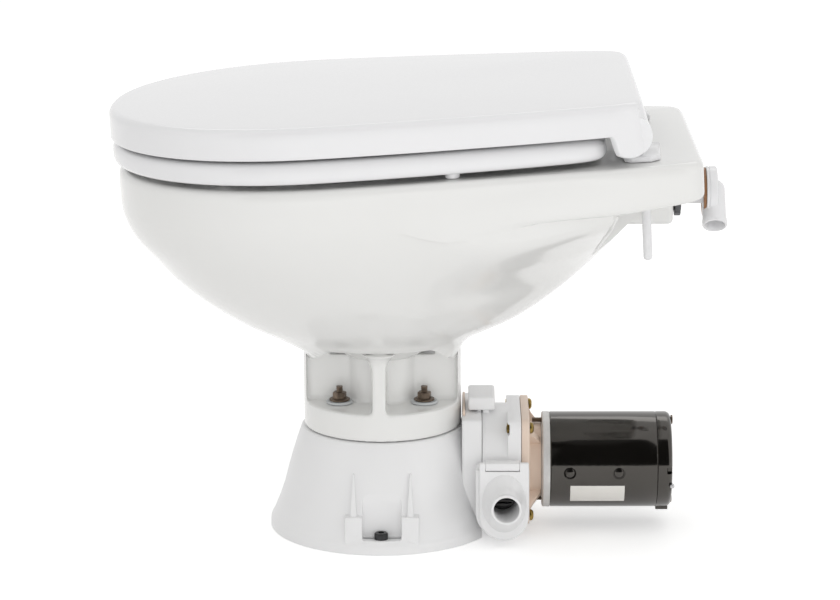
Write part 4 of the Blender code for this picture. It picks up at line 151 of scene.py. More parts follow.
# %% Dark curtain behind the camera
bpy.ops.mesh.primitive_plane_add(size=1.0, location=(3.20, 0.0, 3.25),
                                 rotation=(0.0, math.radians(90.0), 0.0))
curtain = bpy.context.object
curtain.name = "dark_curtain"
curtain.scale = (6.5, 6.0, 1.0)
cloth = bpy.data.materials.new("dark_curtain")
cloth.use_nodes = True
weave = cloth.node_tree.nodes["Principled BSDF"]
weave.inputs["Base Color"].default_value = (0.02, 0.02, 0.02, 1.0)
weave.inputs["Roughness"].default_value = 0.9
curtain.data.materials.append(cloth)
curtain.visible_camera = False
curtain.visible_diffuse = False
curtain.visible_shadow = False
print("curtain", tuple(round(side, 1) for side in curtain.dimensions))

# %% Lamps
def softbox(name, place, towards, width, height, watts):
    """A rectangular lamp aimed at a point."""
    light = bpy.data.lights.new(name, "AREA")
    light.shape = "RECTANGLE"
    light.size, light.size_y = width, height
    light.energy = watts
    lamp = bpy.data.objects.new(name, light)
    bpy.context.scene.collection.objects.link(lamp)
    lamp.location = place
    lamp.rotation_euler = (Vector(towards) - Vector(place)).to_track_quat("-Z", "Y").to_euler()
    return lamp


softbox("top_box", (0.20, -0.10, 1.75), (0.0, 0.02, 0.20), 1.8, 1.8, 0.8)
softbox("side_box", (1.9, -1.3, 1.15), (0.0, 0.0, 0.22), 1.5, 1.5, 0.8)
softbox("far_box", (-1.25, 0.1, 1.55), (0.0, 0.0, 0.20), 1.8, 0.6, 4.0)
for name, place, watts in (("low_box", (2.2, 0.10, 0.25), 9.0), ("rear_box", (1.3, 1.70, 0.40), 4.0)):
    softbox(name, place, (0.0, 0.05, 0.10), 1.6, 0.7, watts).visible_glossy = False

# %% [markdown]
# ## Finishes
# A real surface is never one flat colour: glaze pools a little, plastic has a faint grain, steel shows
# its brushing and brass goes brown in patches. Every finish here starts as a plain shader. Two noise
# patterns on the object's own coordinates then vary its colour and its roughness, and a bump gives the
# grain. Sizes are in metres, so a scale of 1000 is a grain of about a millimetre.

# %% Making a finish
finishes = {}


def finish(name, light, dark, rough, patch=14.0, grain=900.0, bump=0.02, metal=0.0, stretch=(1, 1, 1)):
    """A Principled finish: light and dark are the two ends of its colour, rough its two roughnesses.

    It is kept in finishes under its name. Most names are slots of the record.
    """
    material = bpy.data.materials.new(name)
    material.use_nodes = True
    tree = material.node_tree
    shader = tree.nodes["Principled BSDF"]
    shader.inputs["Metallic"].default_value = metal
    place = tree.nodes.new("ShaderNodeTexCoord")
    frame_of = tree.nodes.new("ShaderNodeMapping")
    frame_of.inputs["Scale"].default_value = stretch
    tree.links.new(place.outputs["Object"], frame_of.inputs["Vector"])
    patches = tree.nodes.new("ShaderNodeTexNoise")
    patches.name = "patches"
    patches.inputs["Scale"].default_value = patch
    patches.inputs["Detail"].default_value = 4.0
    grains = tree.nodes.new("ShaderNodeTexNoise")
    grains.name = "grains"
    grains.inputs["Scale"].default_value = grain
    grains.inputs["Detail"].default_value = 3.0
    for noise in (patches, grains):
        tree.links.new(frame_of.outputs["Vector"], noise.inputs["Vector"])
    tint = tree.nodes.new("ShaderNodeMix")
    tint.name = "tint"
    tint.data_type = "RGBA"
    tint.inputs["A"].default_value = (*light, 1.0)
    tint.inputs["B"].default_value = (*dark, 1.0)
    tree.links.new(patches.outputs["Fac"], tint.inputs["Factor"])
    tree.links.new(tint.outputs["Result"], shader.inputs["Base Color"])
    gloss = tree.nodes.new("ShaderNodeMapRange")
    gloss.inputs["To Min"].default_value, gloss.inputs["To Max"].default_value = rough
    tree.links.new(grains.outputs["Fac"], gloss.inputs["Value"])
    tree.links.new(gloss.outputs["Result"], shader.inputs["Roughness"])
    relief = tree.nodes.new("ShaderNodeBump")
    relief.name = "relief"
    relief.inputs["Strength"].default_value = bump
    relief.inputs["Distance"].default_value = 0.0004
    tree.links.new(grains.outputs["Fac"], relief.inputs["Height"])
    tree.links.new(relief.outputs["Normal"], shader.inputs["Normal"])
    finishes[name] = material
    return material


def add_spots(material, colour, scale, size, amount):
    """Small spots of another colour over a finish, such as pits, flecks or tarnish."""
    tree = material.node_tree
    shader = tree.nodes["Principled BSDF"]
    base = shader.inputs["Base Color"].links[0].from_socket
    place = tree.nodes.new("ShaderNodeTexCoord")
    cells = tree.nodes.new("ShaderNodeTexVoronoi")
    cells.inputs["Scale"].default_value = scale
    tree.links.new(place.outputs["Object"], cells.inputs["Vector"])
    edge = tree.nodes.new("ShaderNodeMapRange")
    edge.inputs["From Min"].default_value, edge.inputs["From Max"].default_value = size, size * 0.4
    edge.inputs["To Max"].default_value = amount
    tree.links.new(cells.outputs["Distance"], edge.inputs["Value"])
    mix = tree.nodes.new("ShaderNodeMix")
    mix.data_type = "RGBA"
    mix.inputs["B"].default_value = (*colour, 1.0)
    tree.links.new(edge.outputs["Result"], mix.inputs["Factor"])
    tree.links.new(base, mix.inputs["A"])
    tree.links.new(mix.outputs["Result"], shader.inputs["Base Color"])
    return material


# %% [markdown]
# White glaze is a glass-like layer on nearly white clay: smooth and a little warm, with long soft waves
# from the firing and a few pin holes. Seat and lid are pressed plastic: a little cooler, with a fine
# orange peel. The base is a satin moulding of a cooler white, and rougher.

# %% Whites
glaze = finish("glazed_ceramic", (0.85, 0.85, 0.84), (0.81, 0.81, 0.795), (0.09, 0.15), patch=9.0,
               grain=60.0, bump=0.04)
add_spots(glaze, (0.62, 0.60, 0.56), 160.0, 0.035, 0.35)
finish("seat_plastic", (0.86, 0.86, 0.87), (0.83, 0.83, 0.845), (0.14, 0.22), patch=11.0,
       grain=420.0, bump=0.05)
base_white = finish("base_plastic", (0.87, 0.87, 0.875), (0.83, 0.83, 0.835), (0.30, 0.44), patch=16.0,
                    grain=1300.0, bump=0.10)
add_spots(base_white, (0.70, 0.70, 0.71), 420.0, 0.10, 0.25)
beige = finish("adapter_plastic", (0.84, 0.69, 0.58), (0.76, 0.61, 0.50), (0.38, 0.55), patch=40.0,
               grain=1500.0, bump=0.25)
add_spots(beige, (0.86, 0.73, 0.63), 600.0, 0.16, 0.5)
print("white and beige finishes:", list(finishes))

# %% Rubbers and dark plastics
rubber = finish("black_rubber", (0.035, 0.035, 0.036), (0.022, 0.022, 0.022), (0.55, 0.75), grain=1600.0,
                bump=0.3)
add_spots(rubber, (0.09, 0.09, 0.09), 900.0, 0.12, 0.5)
finish("pale_rubber", (0.62, 0.64, 0.65), (0.52, 0.54, 0.55), (0.5, 0.7), grain=1500.0,
       bump=0.25)
finish("nut_grey", (0.11, 0.11, 0.12), (0.075, 0.075, 0.08), (0.38, 0.55),
       grain=1400.0, bump=0.25)
finish("brush_card", (0.36, 0.18, 0.08), (0.24, 0.11, 0.05), (0.4, 0.6), patch=60.0, grain=700.0,
       bump=0.2, stretch=(1, 1, 6))
finish("carbon", (0.035, 0.035, 0.038), (0.02, 0.02, 0.022), (0.45, 0.65), grain=2200.0, bump=0.3)
finish("ferrite", (0.07, 0.07, 0.075), (0.045, 0.045, 0.05), (0.5, 0.7), grain=1200.0, bump=0.35)
print("with rubbers and dark plastics:", len(finishes), "finishes")

# %% [markdown]
# Metals take their colour from what they reflect, so most of their look is in the roughness. Turned and
# rolled steel has fine lines along one axis: the same noise, stretched, gives them. Brass and old steel
# go dark in patches. The motor's black paint is glossy, a little warm, with a soft ripple.

# %% Metals and paint
finish("stainless_steel", (0.60, 0.60, 0.61), (0.47, 0.47, 0.48), (0.18, 0.38), patch=30.0,
       grain=700.0, bump=0.08, metal=1.0, stretch=(1, 9, 1))
finish("dark_steel", (0.26, 0.20, 0.15), (0.10, 0.075, 0.06), (0.30, 0.55), patch=260.0,
       grain=1800.0, bump=0.2, metal=0.8)
brass = finish("brass", (0.42, 0.30, 0.09), (0.20, 0.13, 0.04), (0.20, 0.42), patch=240.0, grain=1500.0,
               bump=0.12, metal=1.0)
add_spots(brass, (0.10, 0.06, 0.03), 700.0, 0.22, 0.7)
cast_grey = finish("cast_aluminium", (0.80, 0.79, 0.78), (0.56, 0.55, 0.54), (0.35, 0.6), patch=120.0,
                   grain=1100.0, bump=0.7, metal=0.3)
add_spots(cast_grey, (0.16, 0.16, 0.17), 900.0, 0.2, 0.6)
black_paint = finish("motor_black", (0.004, 0.0035, 0.003), (0.002, 0.0018, 0.0015), (0.07, 0.16),
                     patch=30.0, grain=380.0, bump=0.06)
paint = black_paint.node_tree.nodes["Principled BSDF"]
paint.inputs["Specular IOR Level"].default_value = 1.0
paint.inputs["Specular Tint"].default_value = (1.0, 0.94, 0.87, 1.0)
finish("copper", (0.75, 0.36, 0.19), (0.52, 0.20, 0.09), (0.22, 0.42), patch=150.0, grain=900.0,
       bump=0.1, metal=1.0, stretch=(1, 7, 1))
finish("core_steel", (0.30, 0.29, 0.29), (0.20, 0.18, 0.17), (0.4, 0.6), patch=80.0,
       grain=900.0, bump=0.4, metal=0.8, stretch=(1, 24, 1))
print("with metals and paint:", len(finishes), "finishes")

# %% [markdown]
# Every CAD node that stays in view takes the finish of its slot in the record. The pieces that are
# modelled below replace their nodes and take the same finishes.

# %% Dress the CAD nodes
slot_of = {entry["node"]: entry["material_slot"] for entry in frame["record"]["subparts"]}
for name, node in nodes.items():
    node.data.materials.clear()
    node.data.materials.append(finishes[slot_of[name]])
print("dressed", len(slot_of), "nodes")

# %% [markdown]
# ## A small set of tools
# Three ways of working make nearly every piece of this toilet. A pressed or cast shell is a closed line
# that is extruded ring by ring and set to a new outline each time. A turned piece is the same thing with
# round rings. A cut or a join is a Boolean with a second shape, applied at once, after which the second
# shape is thrown away. Nothing stays selected between steps, because every operator acts on all that is.

# %% Selecting and editing
def deselect():
    """Object mode with nothing selected."""
    if bpy.context.mode != "OBJECT":
        bpy.ops.object.mode_set(mode="OBJECT")
    bpy.ops.object.select_all(action="DESELECT")


def work_on(piece):
    """Only this piece is selected and active."""
    deselect()
    piece.select_set(True)
    bpy.context.view_layer.objects.active = piece


def named(name):
    """Give the primitive that was just added its name."""
    piece = bpy.context.object
    piece.name = name
    piece.data.name = name
    return piece


def settle(piece):
    """Put the piece's place and turn into its mesh, so that the object sits at the origin."""
    work_on(piece)
    bpy.ops.object.transform_apply(location=True, rotation=True, scale=True)
    return piece


def apply_step(piece, kind, **settings):
    """Add a modifier with these settings and apply it."""
    work_on(piece)
    step = piece.modifiers.new(kind.lower(), kind)
    for setting, value in settings.items():
        setattr(step, setting, value)
    bpy.ops.object.modifier_apply(modifier=step.name)
    return piece


def combine(piece, tool, operation):
    """Apply a Boolean with the tool, then throw the tool away."""
    apply_step(piece, "BOOLEAN", operation=operation, solver="EXACT", object=tool)
    bpy.data.objects.remove(tool, do_unlink=True)
    return piece


def cut(piece, tool):
    """Take the tool's shape out of the piece."""
    return combine(piece, tool, "DIFFERENCE")


def join(piece, tool):
    """Make the two shapes one closed body."""
    return combine(piece, tool, "UNION")


def common(piece, tool):
    """Keep only what the two shapes share."""
    return combine(piece, tool, "INTERSECT")


def soften(piece, width, segments=3, angle=30.0):
    """Round every edge that turns by more than the angle."""
    return apply_step(piece, "BEVEL", width=width, segments=segments, limit_method="ANGLE",
                      angle_limit=math.radians(angle), use_clamp_overlap=True)


# %% [markdown]
# The next cell draws a closed outline and extrudes it. Each point keeps its number in the outline, in a
# small layer of the mesh, so after every extrusion the new points can be set to the next outline. With
# closed, the last ring is merged onto the first; otherwise each end is filled.

# %% Extruding an outline
def draw_through(name, rings, closed=False):
    """A shell through the given rings, which all have the same number of points."""
    deselect()
    bpy.ops.mesh.primitive_circle_add(vertices=len(rings[0]), radius=0.1)
    piece = named(name)
    bpy.ops.object.mode_set(mode="EDIT")
    mesh = bmesh.from_edit_mesh(piece.data)
    number = mesh.verts.layers.int.new("number")
    for index, vert in enumerate(mesh.verts):
        vert[number] = index
        vert.co = rings[0][index]
    bmesh.update_edit_mesh(piece.data)
    for ring in list(rings[1:]) + ([rings[0]] if closed else []):
        bpy.ops.mesh.extrude_region_move()
        mesh = bmesh.from_edit_mesh(piece.data)
        number = mesh.verts.layers.int["number"]
        for vert in mesh.verts:
            if vert.select:
                vert.co = ring[vert[number]]
        bmesh.update_edit_mesh(piece.data)
    if closed:
        bpy.ops.mesh.select_all(action="SELECT")
        bpy.ops.mesh.remove_doubles(threshold=0.000001)
    else:
        bpy.ops.mesh.edge_face_add()
        bpy.ops.mesh.select_all(action="DESELECT")
        mesh = bmesh.from_edit_mesh(piece.data)
        for edge in mesh.edges:
            edge.select_set(edge.is_boundary)
        bmesh.update_edit_mesh(piece.data)
        bpy.ops.mesh.edge_face_add()
    bpy.ops.mesh.select_all(action="SELECT")
    bpy.ops.mesh.normals_make_consistent(inside=False)
    bpy.ops.object.mode_set(mode="OBJECT")
    piece.data.attributes.remove(piece.data.attributes["number"])
    return piece


# %% Round shapes and boxes
ALONG_X, ALONG_Y, UPWARD = (1.0, 0.0, 0.0), (0.0, 1.0, 0.0), (0.0, 0.0, 1.0)
SIDES = (("left", -1.0), ("right", 1.0))


def turned(name, profile, origin=(0.0, 0.0, 0.0), axis=UPWARD, steps=64, closed=False):
    """A turned shape: the profile is (radius, height) along the axis from the origin."""
    axis = Vector(axis).normalized()
    across = axis.orthogonal().normalized()
    up = axis.cross(across)
    rings = []
    for radius, height in profile:
        ring = []
        for step in range(steps):
            angle = 2.0 * math.pi * step / steps
            out = across * math.cos(angle) + up * math.sin(angle)
            ring.append(Vector(origin) + axis * height + out * max(radius, 0.00002))
        rings.append(ring)
    return draw_through(name, rings, closed)


def bar(name, low, high, edge=0.0, segments=3):
    """A box between two corners, with its edges bevelled in edit mode."""
    low, high = Vector(low), Vector(high)
    deselect()
    bpy.ops.mesh.primitive_cube_add(size=1.0, location=(low + high) / 2.0, scale=high - low)
    piece = settle(named(name))
    if edge:
        bpy.ops.object.mode_set(mode="EDIT")
        bpy.ops.mesh.select_all(action="SELECT")
        bpy.ops.mesh.bevel(offset=edge, segments=segments, affect="EDGES", clamp_overlap=True)
        bpy.ops.object.mode_set(mode="OBJECT")
    return piece


def rod(name, start, end, radius, end_radius=None, steps=48):
    """A cylinder or cone between two points, to cut with or to join on."""
    start, end = Vector(start), Vector(end)
    length = (end - start).length
    return turned(name, [(radius, 0.0), (radius if end_radius is None else end_radius, length)],
                  start, end - start, steps)


def drill(piece, name, start, end, radius, steps=48):
    """Cut a round hole between two points."""
    return cut(piece, rod(name, start, end, radius, steps=steps))


def side_bar(name, sign, inner, outer, low, high, edge=0.0, segments=3):
    """A box on one side, between two distances from the middle and two (y, z) corners."""
    near, far = sorted((sign * inner, sign * outer))
    return bar(name, (near, *low), (far, *high), edge, segments)


def slab(name, outline, start, thickness, across, up):
    """A flat plate of this outline, drawn in the plane of two axes and extruded by the thickness."""
    across, up = Vector(across), Vector(up)
    through = across.cross(up).normalized() * thickness
    flat = [Vector(start) + across * first + up * second for first, second in outline]
    return draw_through(name, [flat, [point + through for point in flat]])


def plate_yz(name, outline, x, thickness, y=0.0):
    """A plate across the X axis, with its outline given as (y, z)."""
    return slab(name, outline, (x, y, 0.0), thickness, ALONG_Y, UPWARD)


# %% [markdown]
# A finished piece gets smooth shading up to an angle, the finish that its slot in the record names, and
# the body that it moves with. The CAD nodes that it stands for are then no longer shown.

# %% Handing a piece over
def hand_over(piece, material_slot, body, *replaced, angle=32.0):
    """Shade, dress and attach a finished piece."""
    work_on(piece)
    bpy.ops.object.shade_smooth_by_angle(angle=math.radians(angle))
    piece.data.materials.clear()
    piece.data.materials.append(finishes[material_slot])
    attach(piece, body)
    if replaced:
        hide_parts(*replaced)
    print(piece.name, len(piece.data.polygons), "faces")
    return piece


def quarter(radius, steps=4):
    """(drop, inset) points round a quarter edge, from the flat to the side."""
    points = []
    for step in range(steps + 1):
        angle = math.pi / 2.0 * step / steps
        points.append((radius * (1.0 - math.sin(math.pi / 2.0 - angle)), radius * (1.0 - math.sin(angle))))
    return points


def between(low, high, share):
    return low + (high - low) * share


def ease(share):
    share = min(max(share, 0.0), 1.0)
    return share * share * (3.0 - 2.0 * share)


# %% [markdown]
# ## The bowl
# The bowl is one ceramic casting: rim, deck, basin and foot. It could be sculpted, but a casting like this
# is really a set of level outlines that change slowly with height, so it is drawn as rings. The outline is
# an egg: nearly an ellipse at the front and nearly a rectangle at the rear. The rim and the deck lean back
# by 2.8 degrees, and the rings turn from that lean to level on the way down to the round foot.

# %% Outlines of rim and bowl
RIM_HEIGHT = 0.3240
RIM_TILT = math.radians(2.8)
RIM_FRONT, DECK_REAR, RIM_HALF, RIM_WIDEST = 0.2170, 0.2590, 0.1700, 0.0400
SLAB, FOOT_RADIUS, FOOT_BOTTOM = 0.0310, 0.0665, 0.0885
BOWL_STEPS = 256


def quarter_line(half, length, power, taper, corner, count):
    """A quarter of the outline from its end to its side, with points close together near the corner."""
    path = []
    for step in range(241):
        angle = math.pi / 2.0 * step / 240
        along, across = math.cos(angle), math.sin(angle)
        size = (along ** power + across ** power) ** (-1.0 / power)
        path.append(Vector((half * across * size * (1.0 - taper * (along * size) ** 1.5),
                            length * along * size)))
    reached = [0.0]
    for first, second in zip(path, path[1:]):
        near = ease(1.6 - (second - corner).length / 0.030)
        reached.append(reached[-1] + (second - first).length * (1.0 + 4.0 * near))
    points, index = [], 0
    for step in range(count):
        wanted = reached[-1] * step / count
        while reached[index + 1] < wanted:
            index += 1
        share = (wanted - reached[index]) / (reached[index + 1] - reached[index])
        points.append(path[index].lerp(path[index + 1], share))
    return points + [path[-1]]


def egg(front, rear, half, widest, power, taper, inset=0.0, steps=BOWL_STEPS, nose=2.1):
    """Points of an egg outline from the rear middle round by +X."""
    half, count = half - inset, steps // 4
    behind, ahead = rear + widest - inset, front - widest - inset
    corner = Vector((half * (1.0 - taper), behind))
    back = [(x, y - widest) for x, y in quarter_line(half, behind, power, taper, corner, count)]
    fore = [(x, -y - widest) for x, y in quarter_line(half, ahead, nose, 0.0, corner, count)]
    right = back + fore[-2::-1]
    return right + [(-x, y) for x, y in right[-2:0:-1]]


def leaning(points, depth, share):
    """Points at a depth below the rim, in a plane that has this share of the rim's lean."""
    lean = Matrix.Rotation(RIM_TILT * share, 3, "X")
    return [Vector((0.0, 0.0, RIM_HEIGHT)) + lean @ Vector((x, y, -depth)) for x, y in points]


def rim_edge(inset=0.0):
    return egg(RIM_FRONT, DECK_REAR, RIM_HALF, RIM_WIDEST, 24.0, 0.20, inset)


# %% [markdown]
# Below the deck the body narrows to the foot. These rows say how far out it still is at each depth, at
# the front, the rear and the sides. A smooth curve through the rows gives as many rings as are wanted.

# %% Body sections
BODY_ROWS = [  # depth below the rim, then the shares: front, rear, width, lean, corner power
    (0.0000, 1.004, 0.955, 1.004, 1.00, 7.0),
    (0.0150, 1.003, 0.930, 1.000, 1.00, 6.5),
    (0.0382, 0.993, 0.880, 0.978, 0.95, 5.0),
    (0.0582, 0.940, 0.741, 0.910, 0.82, 3.2),
    (0.0782, 0.836, 0.654, 0.800, 0.66, 2.4),
    (0.0996, 0.718, 0.541, 0.650, 0.48, 2.0),
    (0.1197, 0.569, 0.412, 0.475, 0.32, 2.0),
    (0.1397, 0.375, 0.254, 0.260, 0.17, 2.0),
    (0.1568, 0.157, 0.057, 0.040, 0.06, 2.0),
    (0.1683, 0.010, 0.000, 0.000, 0.00, 2.0),
    (0.1740, 0.000, 0.000, 0.000, 0.00, 2.0),
]


def smooth_row(rows, depth):
    """The row at a depth, on a smooth curve through the given rows."""
    last = len(rows) - 2
    index = max(0, min(last, sum(1 for row in rows if row[0] <= depth) - 1))
    low, high = rows[index], rows[index + 1]
    width = high[0] - low[0]
    share = (depth - low[0]) / width
    before, after = rows[max(index - 1, 0)], rows[min(index + 2, len(rows) - 1)]
    values = []
    for column in range(1, len(low)):
        start, end = low[column], high[column]
        slope_low = (end - before[column]) / max(high[0] - before[0], 1e-9) * width
        slope_high = (after[column] - start) / max(after[0] - low[0], 1e-9) * width
        square, cube = share * share, share * share * share
        values.append((2 * cube - 3 * square + 1) * start + (cube - 2 * square + share) * slope_low
                      + (3 * square - 2 * cube) * end + (cube - square) * slope_high)
    return values


def sag(point, depth):
    """How far a point of the side hangs down, because the deck's lower edge runs down to the front."""
    fade = depth / SLAB if depth < SLAB else 1.0 - ease((depth - SLAB) / 0.075)
    side = ease((abs(point.x) - 0.030) / 0.060) * ease((point.y - 0.020) / 0.090)
    return Vector((0.0, 0.0, 0.09 * side * fade * (DECK_REAR - point.y)))


def body_ring(depth):
    front, rear, width, lean, power = smooth_row(BODY_ROWS, depth)
    outline = egg(between(FOOT_RADIUS, RIM_FRONT, front), between(FOOT_RADIUS, DECK_REAR, rear),
                  between(FOOT_RADIUS, RIM_HALF, width), RIM_WIDEST * front, power, 0.28 * rear)
    return [point - sag(point, depth) for point in leaning(outline, depth, lean)]


def vault(point, side, end):
    """The point, no lower than the underside: high at the sides, over the pockets, and low at the ends."""
    lowest = between(side, end, ease((abs(point.y) - 0.040) / 0.022))
    return Vector((point.x, point.y, max(point.z, lowest)))


print("body at half depth:", [round(value, 3) for value in smooth_row(BODY_ROWS, 0.087)])

# %% [markdown]
# At the front the bowl runs into the rim with no edge at all. Further back the deck stands out over the
# body and has a lower edge. One weight, from nothing to all along the side, turns the smooth body into
# the standing edge, so both are one surface.

# %% Outside of rim and body
def edge_weight(y):
    return ease((y - 0.142) / 0.052)


def rim_ring(depth, inset, spread):
    """A ring on the rim's side: the deck's edge where it stands out, the body elsewhere."""
    deck = [point - sag(point, depth) for point in leaning(rim_edge(inset), depth, 1.0)]
    ring = []
    for edge, wall in zip(deck, body_ring(depth)):
        smooth = edge.lerp(Vector((wall.x, wall.y, edge.z)), ease(depth / 0.020))
        ring.append(smooth.lerp(edge, edge_weight(edge.y) * spread))
    return ring


outside = [leaning(rim_edge(inset), drop, 1.0) for drop, inset in quarter(0.006, 5)]
for depth in (0.009, 0.013, 0.017, 0.021, 0.0245):
    outside.append(rim_ring(depth, 0.0, 1.0))
for drop, inset in reversed(quarter(0.004, 4)):
    outside.append(rim_ring(SLAB - drop, inset, 1.0))
for spread, depth in ((0.85, 0.0316), (0.55, 0.0326), (0.25, 0.0338), (0.08, 0.0352), (0.0, 0.0370)):
    outside.append(rim_ring(depth, 0.004, spread))
depth = 0.0385
while depth < 0.1735:
    outside.append([vault(point, 0.1645, 0.1500) for point in body_ring(depth)])
    depth += 0.0030
for radius, side, end in ((0.064, 0.1640, 0.1492), (0.058, 0.1630, 0.1483), (0.048, 0.1590, 0.1475),
                          (0.036, 0.1525, 0.1470), (0.026, 0.1468, 0.1468)):
    ring = leaning(egg(radius, radius, radius, 0.0, 2.0, 0.0, nose=2.0), RIM_HEIGHT - 0.1400, 0.0)
    outside.append([vault(Vector((point.x, point.y, 0.0)), side, end) for point in ring])
print("rings outside:", len(outside))

# %% [markdown]
# Inside, the basin climbs from the throat to the rim, and the rim hangs over it by a few millimetres so
# that the flushing water can run round under it.

# %% Inside of the basin
THROAT = 0.0220
BASIN_ROWS = [  # height above the floor of the basin as a share, reach, lean
    (0.00, 0.000, 0.00),
    (0.06, 0.100, 0.00),
    (0.14, 0.260, 0.10),
    (0.25, 0.470, 0.20),
    (0.38, 0.670, 0.35),
    (0.52, 0.830, 0.50),
    (0.66, 0.930, 0.65),
    (0.82, 0.985, 0.80),
    (0.96, 1.000, 0.90),
    (1.00, 1.000, 0.92),
]
BASIN_FLOOR, LIP = 0.1680, 0.0280


def basin_ring(reach, spread, depth, lean):
    outline = egg(between(THROAT, 0.1760 + spread, reach), between(THROAT, 0.1220 + spread, reach),
                  between(THROAT, 0.1200 + spread, reach), RIM_WIDEST * reach, 2.0, 0.0)
    return leaning(outline, depth, lean)


def lip_ring(spread, depth):
    return basin_ring(1.0, spread, depth, 1.0)


inside = [basin_ring(0.0, 0.0, RIM_HEIGHT - 0.1468, 0.0)]
for step in range(41):
    share = step / 40
    reach, lean = smooth_row(BASIN_ROWS, share)
    inside.append(basin_ring(reach, 0.008, between(BASIN_FLOOR, LIP + 0.004, share), lean))
inside += [lip_ring(0.0070, 0.0290), lip_ring(0.0045, 0.0278), lip_ring(0.0020, 0.0272),
           lip_ring(0.0004, 0.0262), lip_ring(0.0, 0.0240), lip_ring(0.0, 0.0150)]
for drop, inset in reversed(quarter(0.005, 4)):
    inside.append(lip_ring(inset, drop))
bowl = draw_through("bowl", outside + inside, closed=True)
print("bowl body:", len(bowl.data.polygons), "faces")

# %% [markdown]
# The foot is a drum with two pockets cut into each side, so that a spanner reaches the four nuts. The
# walls that are left are a rib in the middle, the tube of the throat and the two ends. Clay has no sharp
# edges: after cutting, the drum is remeshed finely and smoothed, which rounds every edge as a wet sponge
# does, and then it is joined to the bowl.

# %% Foot with its pockets
LEDGE = 0.1115
STUD_PLACES = [(x, y) for x in (-0.0250, 0.0250) for y in (-0.0355, 0.0355)]


def foot_pocket(name, sign, low, high):
    """The space over the ledge between the rib and the end wall, round the throat."""
    pocket = side_bar(name, sign, 0.012, 0.080, (low, LEDGE), (high, 0.1750), 0.0030)
    return drill(pocket, "throat_wall", (0.0, 0.0, 0.08), (0.0, 0.0, 0.19), 0.0300, steps=64)


foot = turned("foot", [(FOOT_RADIUS, FOOT_BOTTOM), (FOOT_RADIUS, 0.1670)], steps=128)
drill(foot, "basin_room", (0.0, 0.0, 0.1500), (0.0, 0.0, 0.1800), 0.0460, steps=96)
for side, sign in SIDES:
    for where, low, high in (("front", -0.0634, -0.0070), ("rear", 0.0040, 0.0634)):
        cut(foot, foot_pocket(f"pocket_{where}_{side}", sign, low, high))
    flare = [(0.0056, 0.0), (0.0058, 0.024), (0.0066, 0.031), (0.0084, 0.036), (0.0112, 0.040),
             (0.0155, 0.0435)]
    join(foot, turned(f"rib_flare_{side}", flare, (sign * 0.0595, -0.0015, 0.1200), steps=40))
drill(foot, "throat_bore", (0.0, 0.0, 0.08), (0.0, 0.0, 0.17), THROAT, steps=96)
apply_step(foot, "REMESH", mode="VOXEL", voxel_size=0.0013)
apply_step(foot, "SMOOTH", factor=0.5, iterations=6)
print("foot:", len(foot.data.polygons), "faces")
join(bowl, foot)

# %% [markdown]
# Under the deck the casting is hollowed on both sides, and the hinge bolts pass through the deck. A box
# behind the basin takes the inlet. On the real toilet water runs from it into the rim. Here only the bore
# for the inlet is cut.

# %% Under the deck
DECK_LEAN = Matrix.Translation((0.0, 0.0, RIM_HEIGHT)) @ Matrix.Rotation(RIM_TILT, 4, "X")


def on_deck(tool):
    """Turn a tool that was made level into the leaning frame of the rim."""
    tool.matrix_world = DECK_LEAN
    return settle(tool)


# the hollow's (y, z) corners in the frame of the rim
RECESS_LINE = [(0.1980, -0.0100), (0.2460, -0.0100), (0.2460, -0.1400), (0.1493, -0.1400)]
HINGE_X, BOLT_Y, INLET_Z = 0.0775, 0.2141, 0.2860


def hollow_edge(sign):
    """Round rings along the edge where the hollow meets the side of the body."""
    path = []
    for depth in (0.0340, 0.0400, 0.0470, 0.0540, 0.0610, 0.0680, 0.0750):
        plane = 0.1980 - 0.375 * (depth - 0.0100) + math.sin(RIM_TILT) * depth
        half = [point for point in body_ring(depth) if point.x > 0.02 and point.y > 0.0]
        for first, second in zip(half, half[1:]):
            if (first.y - plane) * (second.y - plane) <= 0.0 and first.y != second.y:
                spot = first.lerp(second, (plane - first.y) / (second.y - first.y))
                path.append(Vector((sign * (spot.x - 0.0012), spot.y - 0.0008, spot.z)))
                break
    rings = []
    for index, spot in enumerate(path):
        along = (path[min(index + 1, len(path) - 1)] - path[max(index - 1, 0)]).normalized()
        across = along.cross(Vector(ALONG_Y)).normalized()
        up = along.cross(across)
        rings.append([spot + (across * math.cos(turn) + up * math.sin(turn)) * 0.0021
                      for turn in (math.pi * step / 8.0 for step in range(16))])
    return rings


for side, sign in SIDES:
    start, end = sorted((sign * 0.0500, sign * 0.1240))
    hollow = plate_yz(f"deck_recess_{side}", RECESS_LINE, start, end - start)
    cut(bowl, on_deck(soften(hollow, 0.0030, 3)))
    join(bowl, draw_through(f"hollow_edge_{side}", hollow_edge(sign)))
    x = sign * HINGE_X
    cut(bowl, on_deck(rod(f"hinge_hole_{side}", (x, BOLT_Y, 0.004), (x, BOLT_Y, -0.014), 0.0060)))
join(bowl, bar("water_channel", (-0.0240, 0.1900, 0.2630), (0.0240, 0.2420, 0.3150), 0.0045, 4))
drill(bowl, "inlet_bore", (0.0, 0.2120, INLET_Z), (0.0, 0.2460, INLET_Z), 0.0110)
drill(bowl, "nut_room", (0.0, 0.2420, INLET_Z), (0.0, 0.2700, INLET_Z), 0.0210)
for x, y in STUD_PLACES:
    drill(bowl, "ledge_hole", (x, y, 0.0860), (x, y, 0.1160), 0.0045, steps=24)
hand_over(bowl, "glazed_ceramic", "toilet", "bowl")

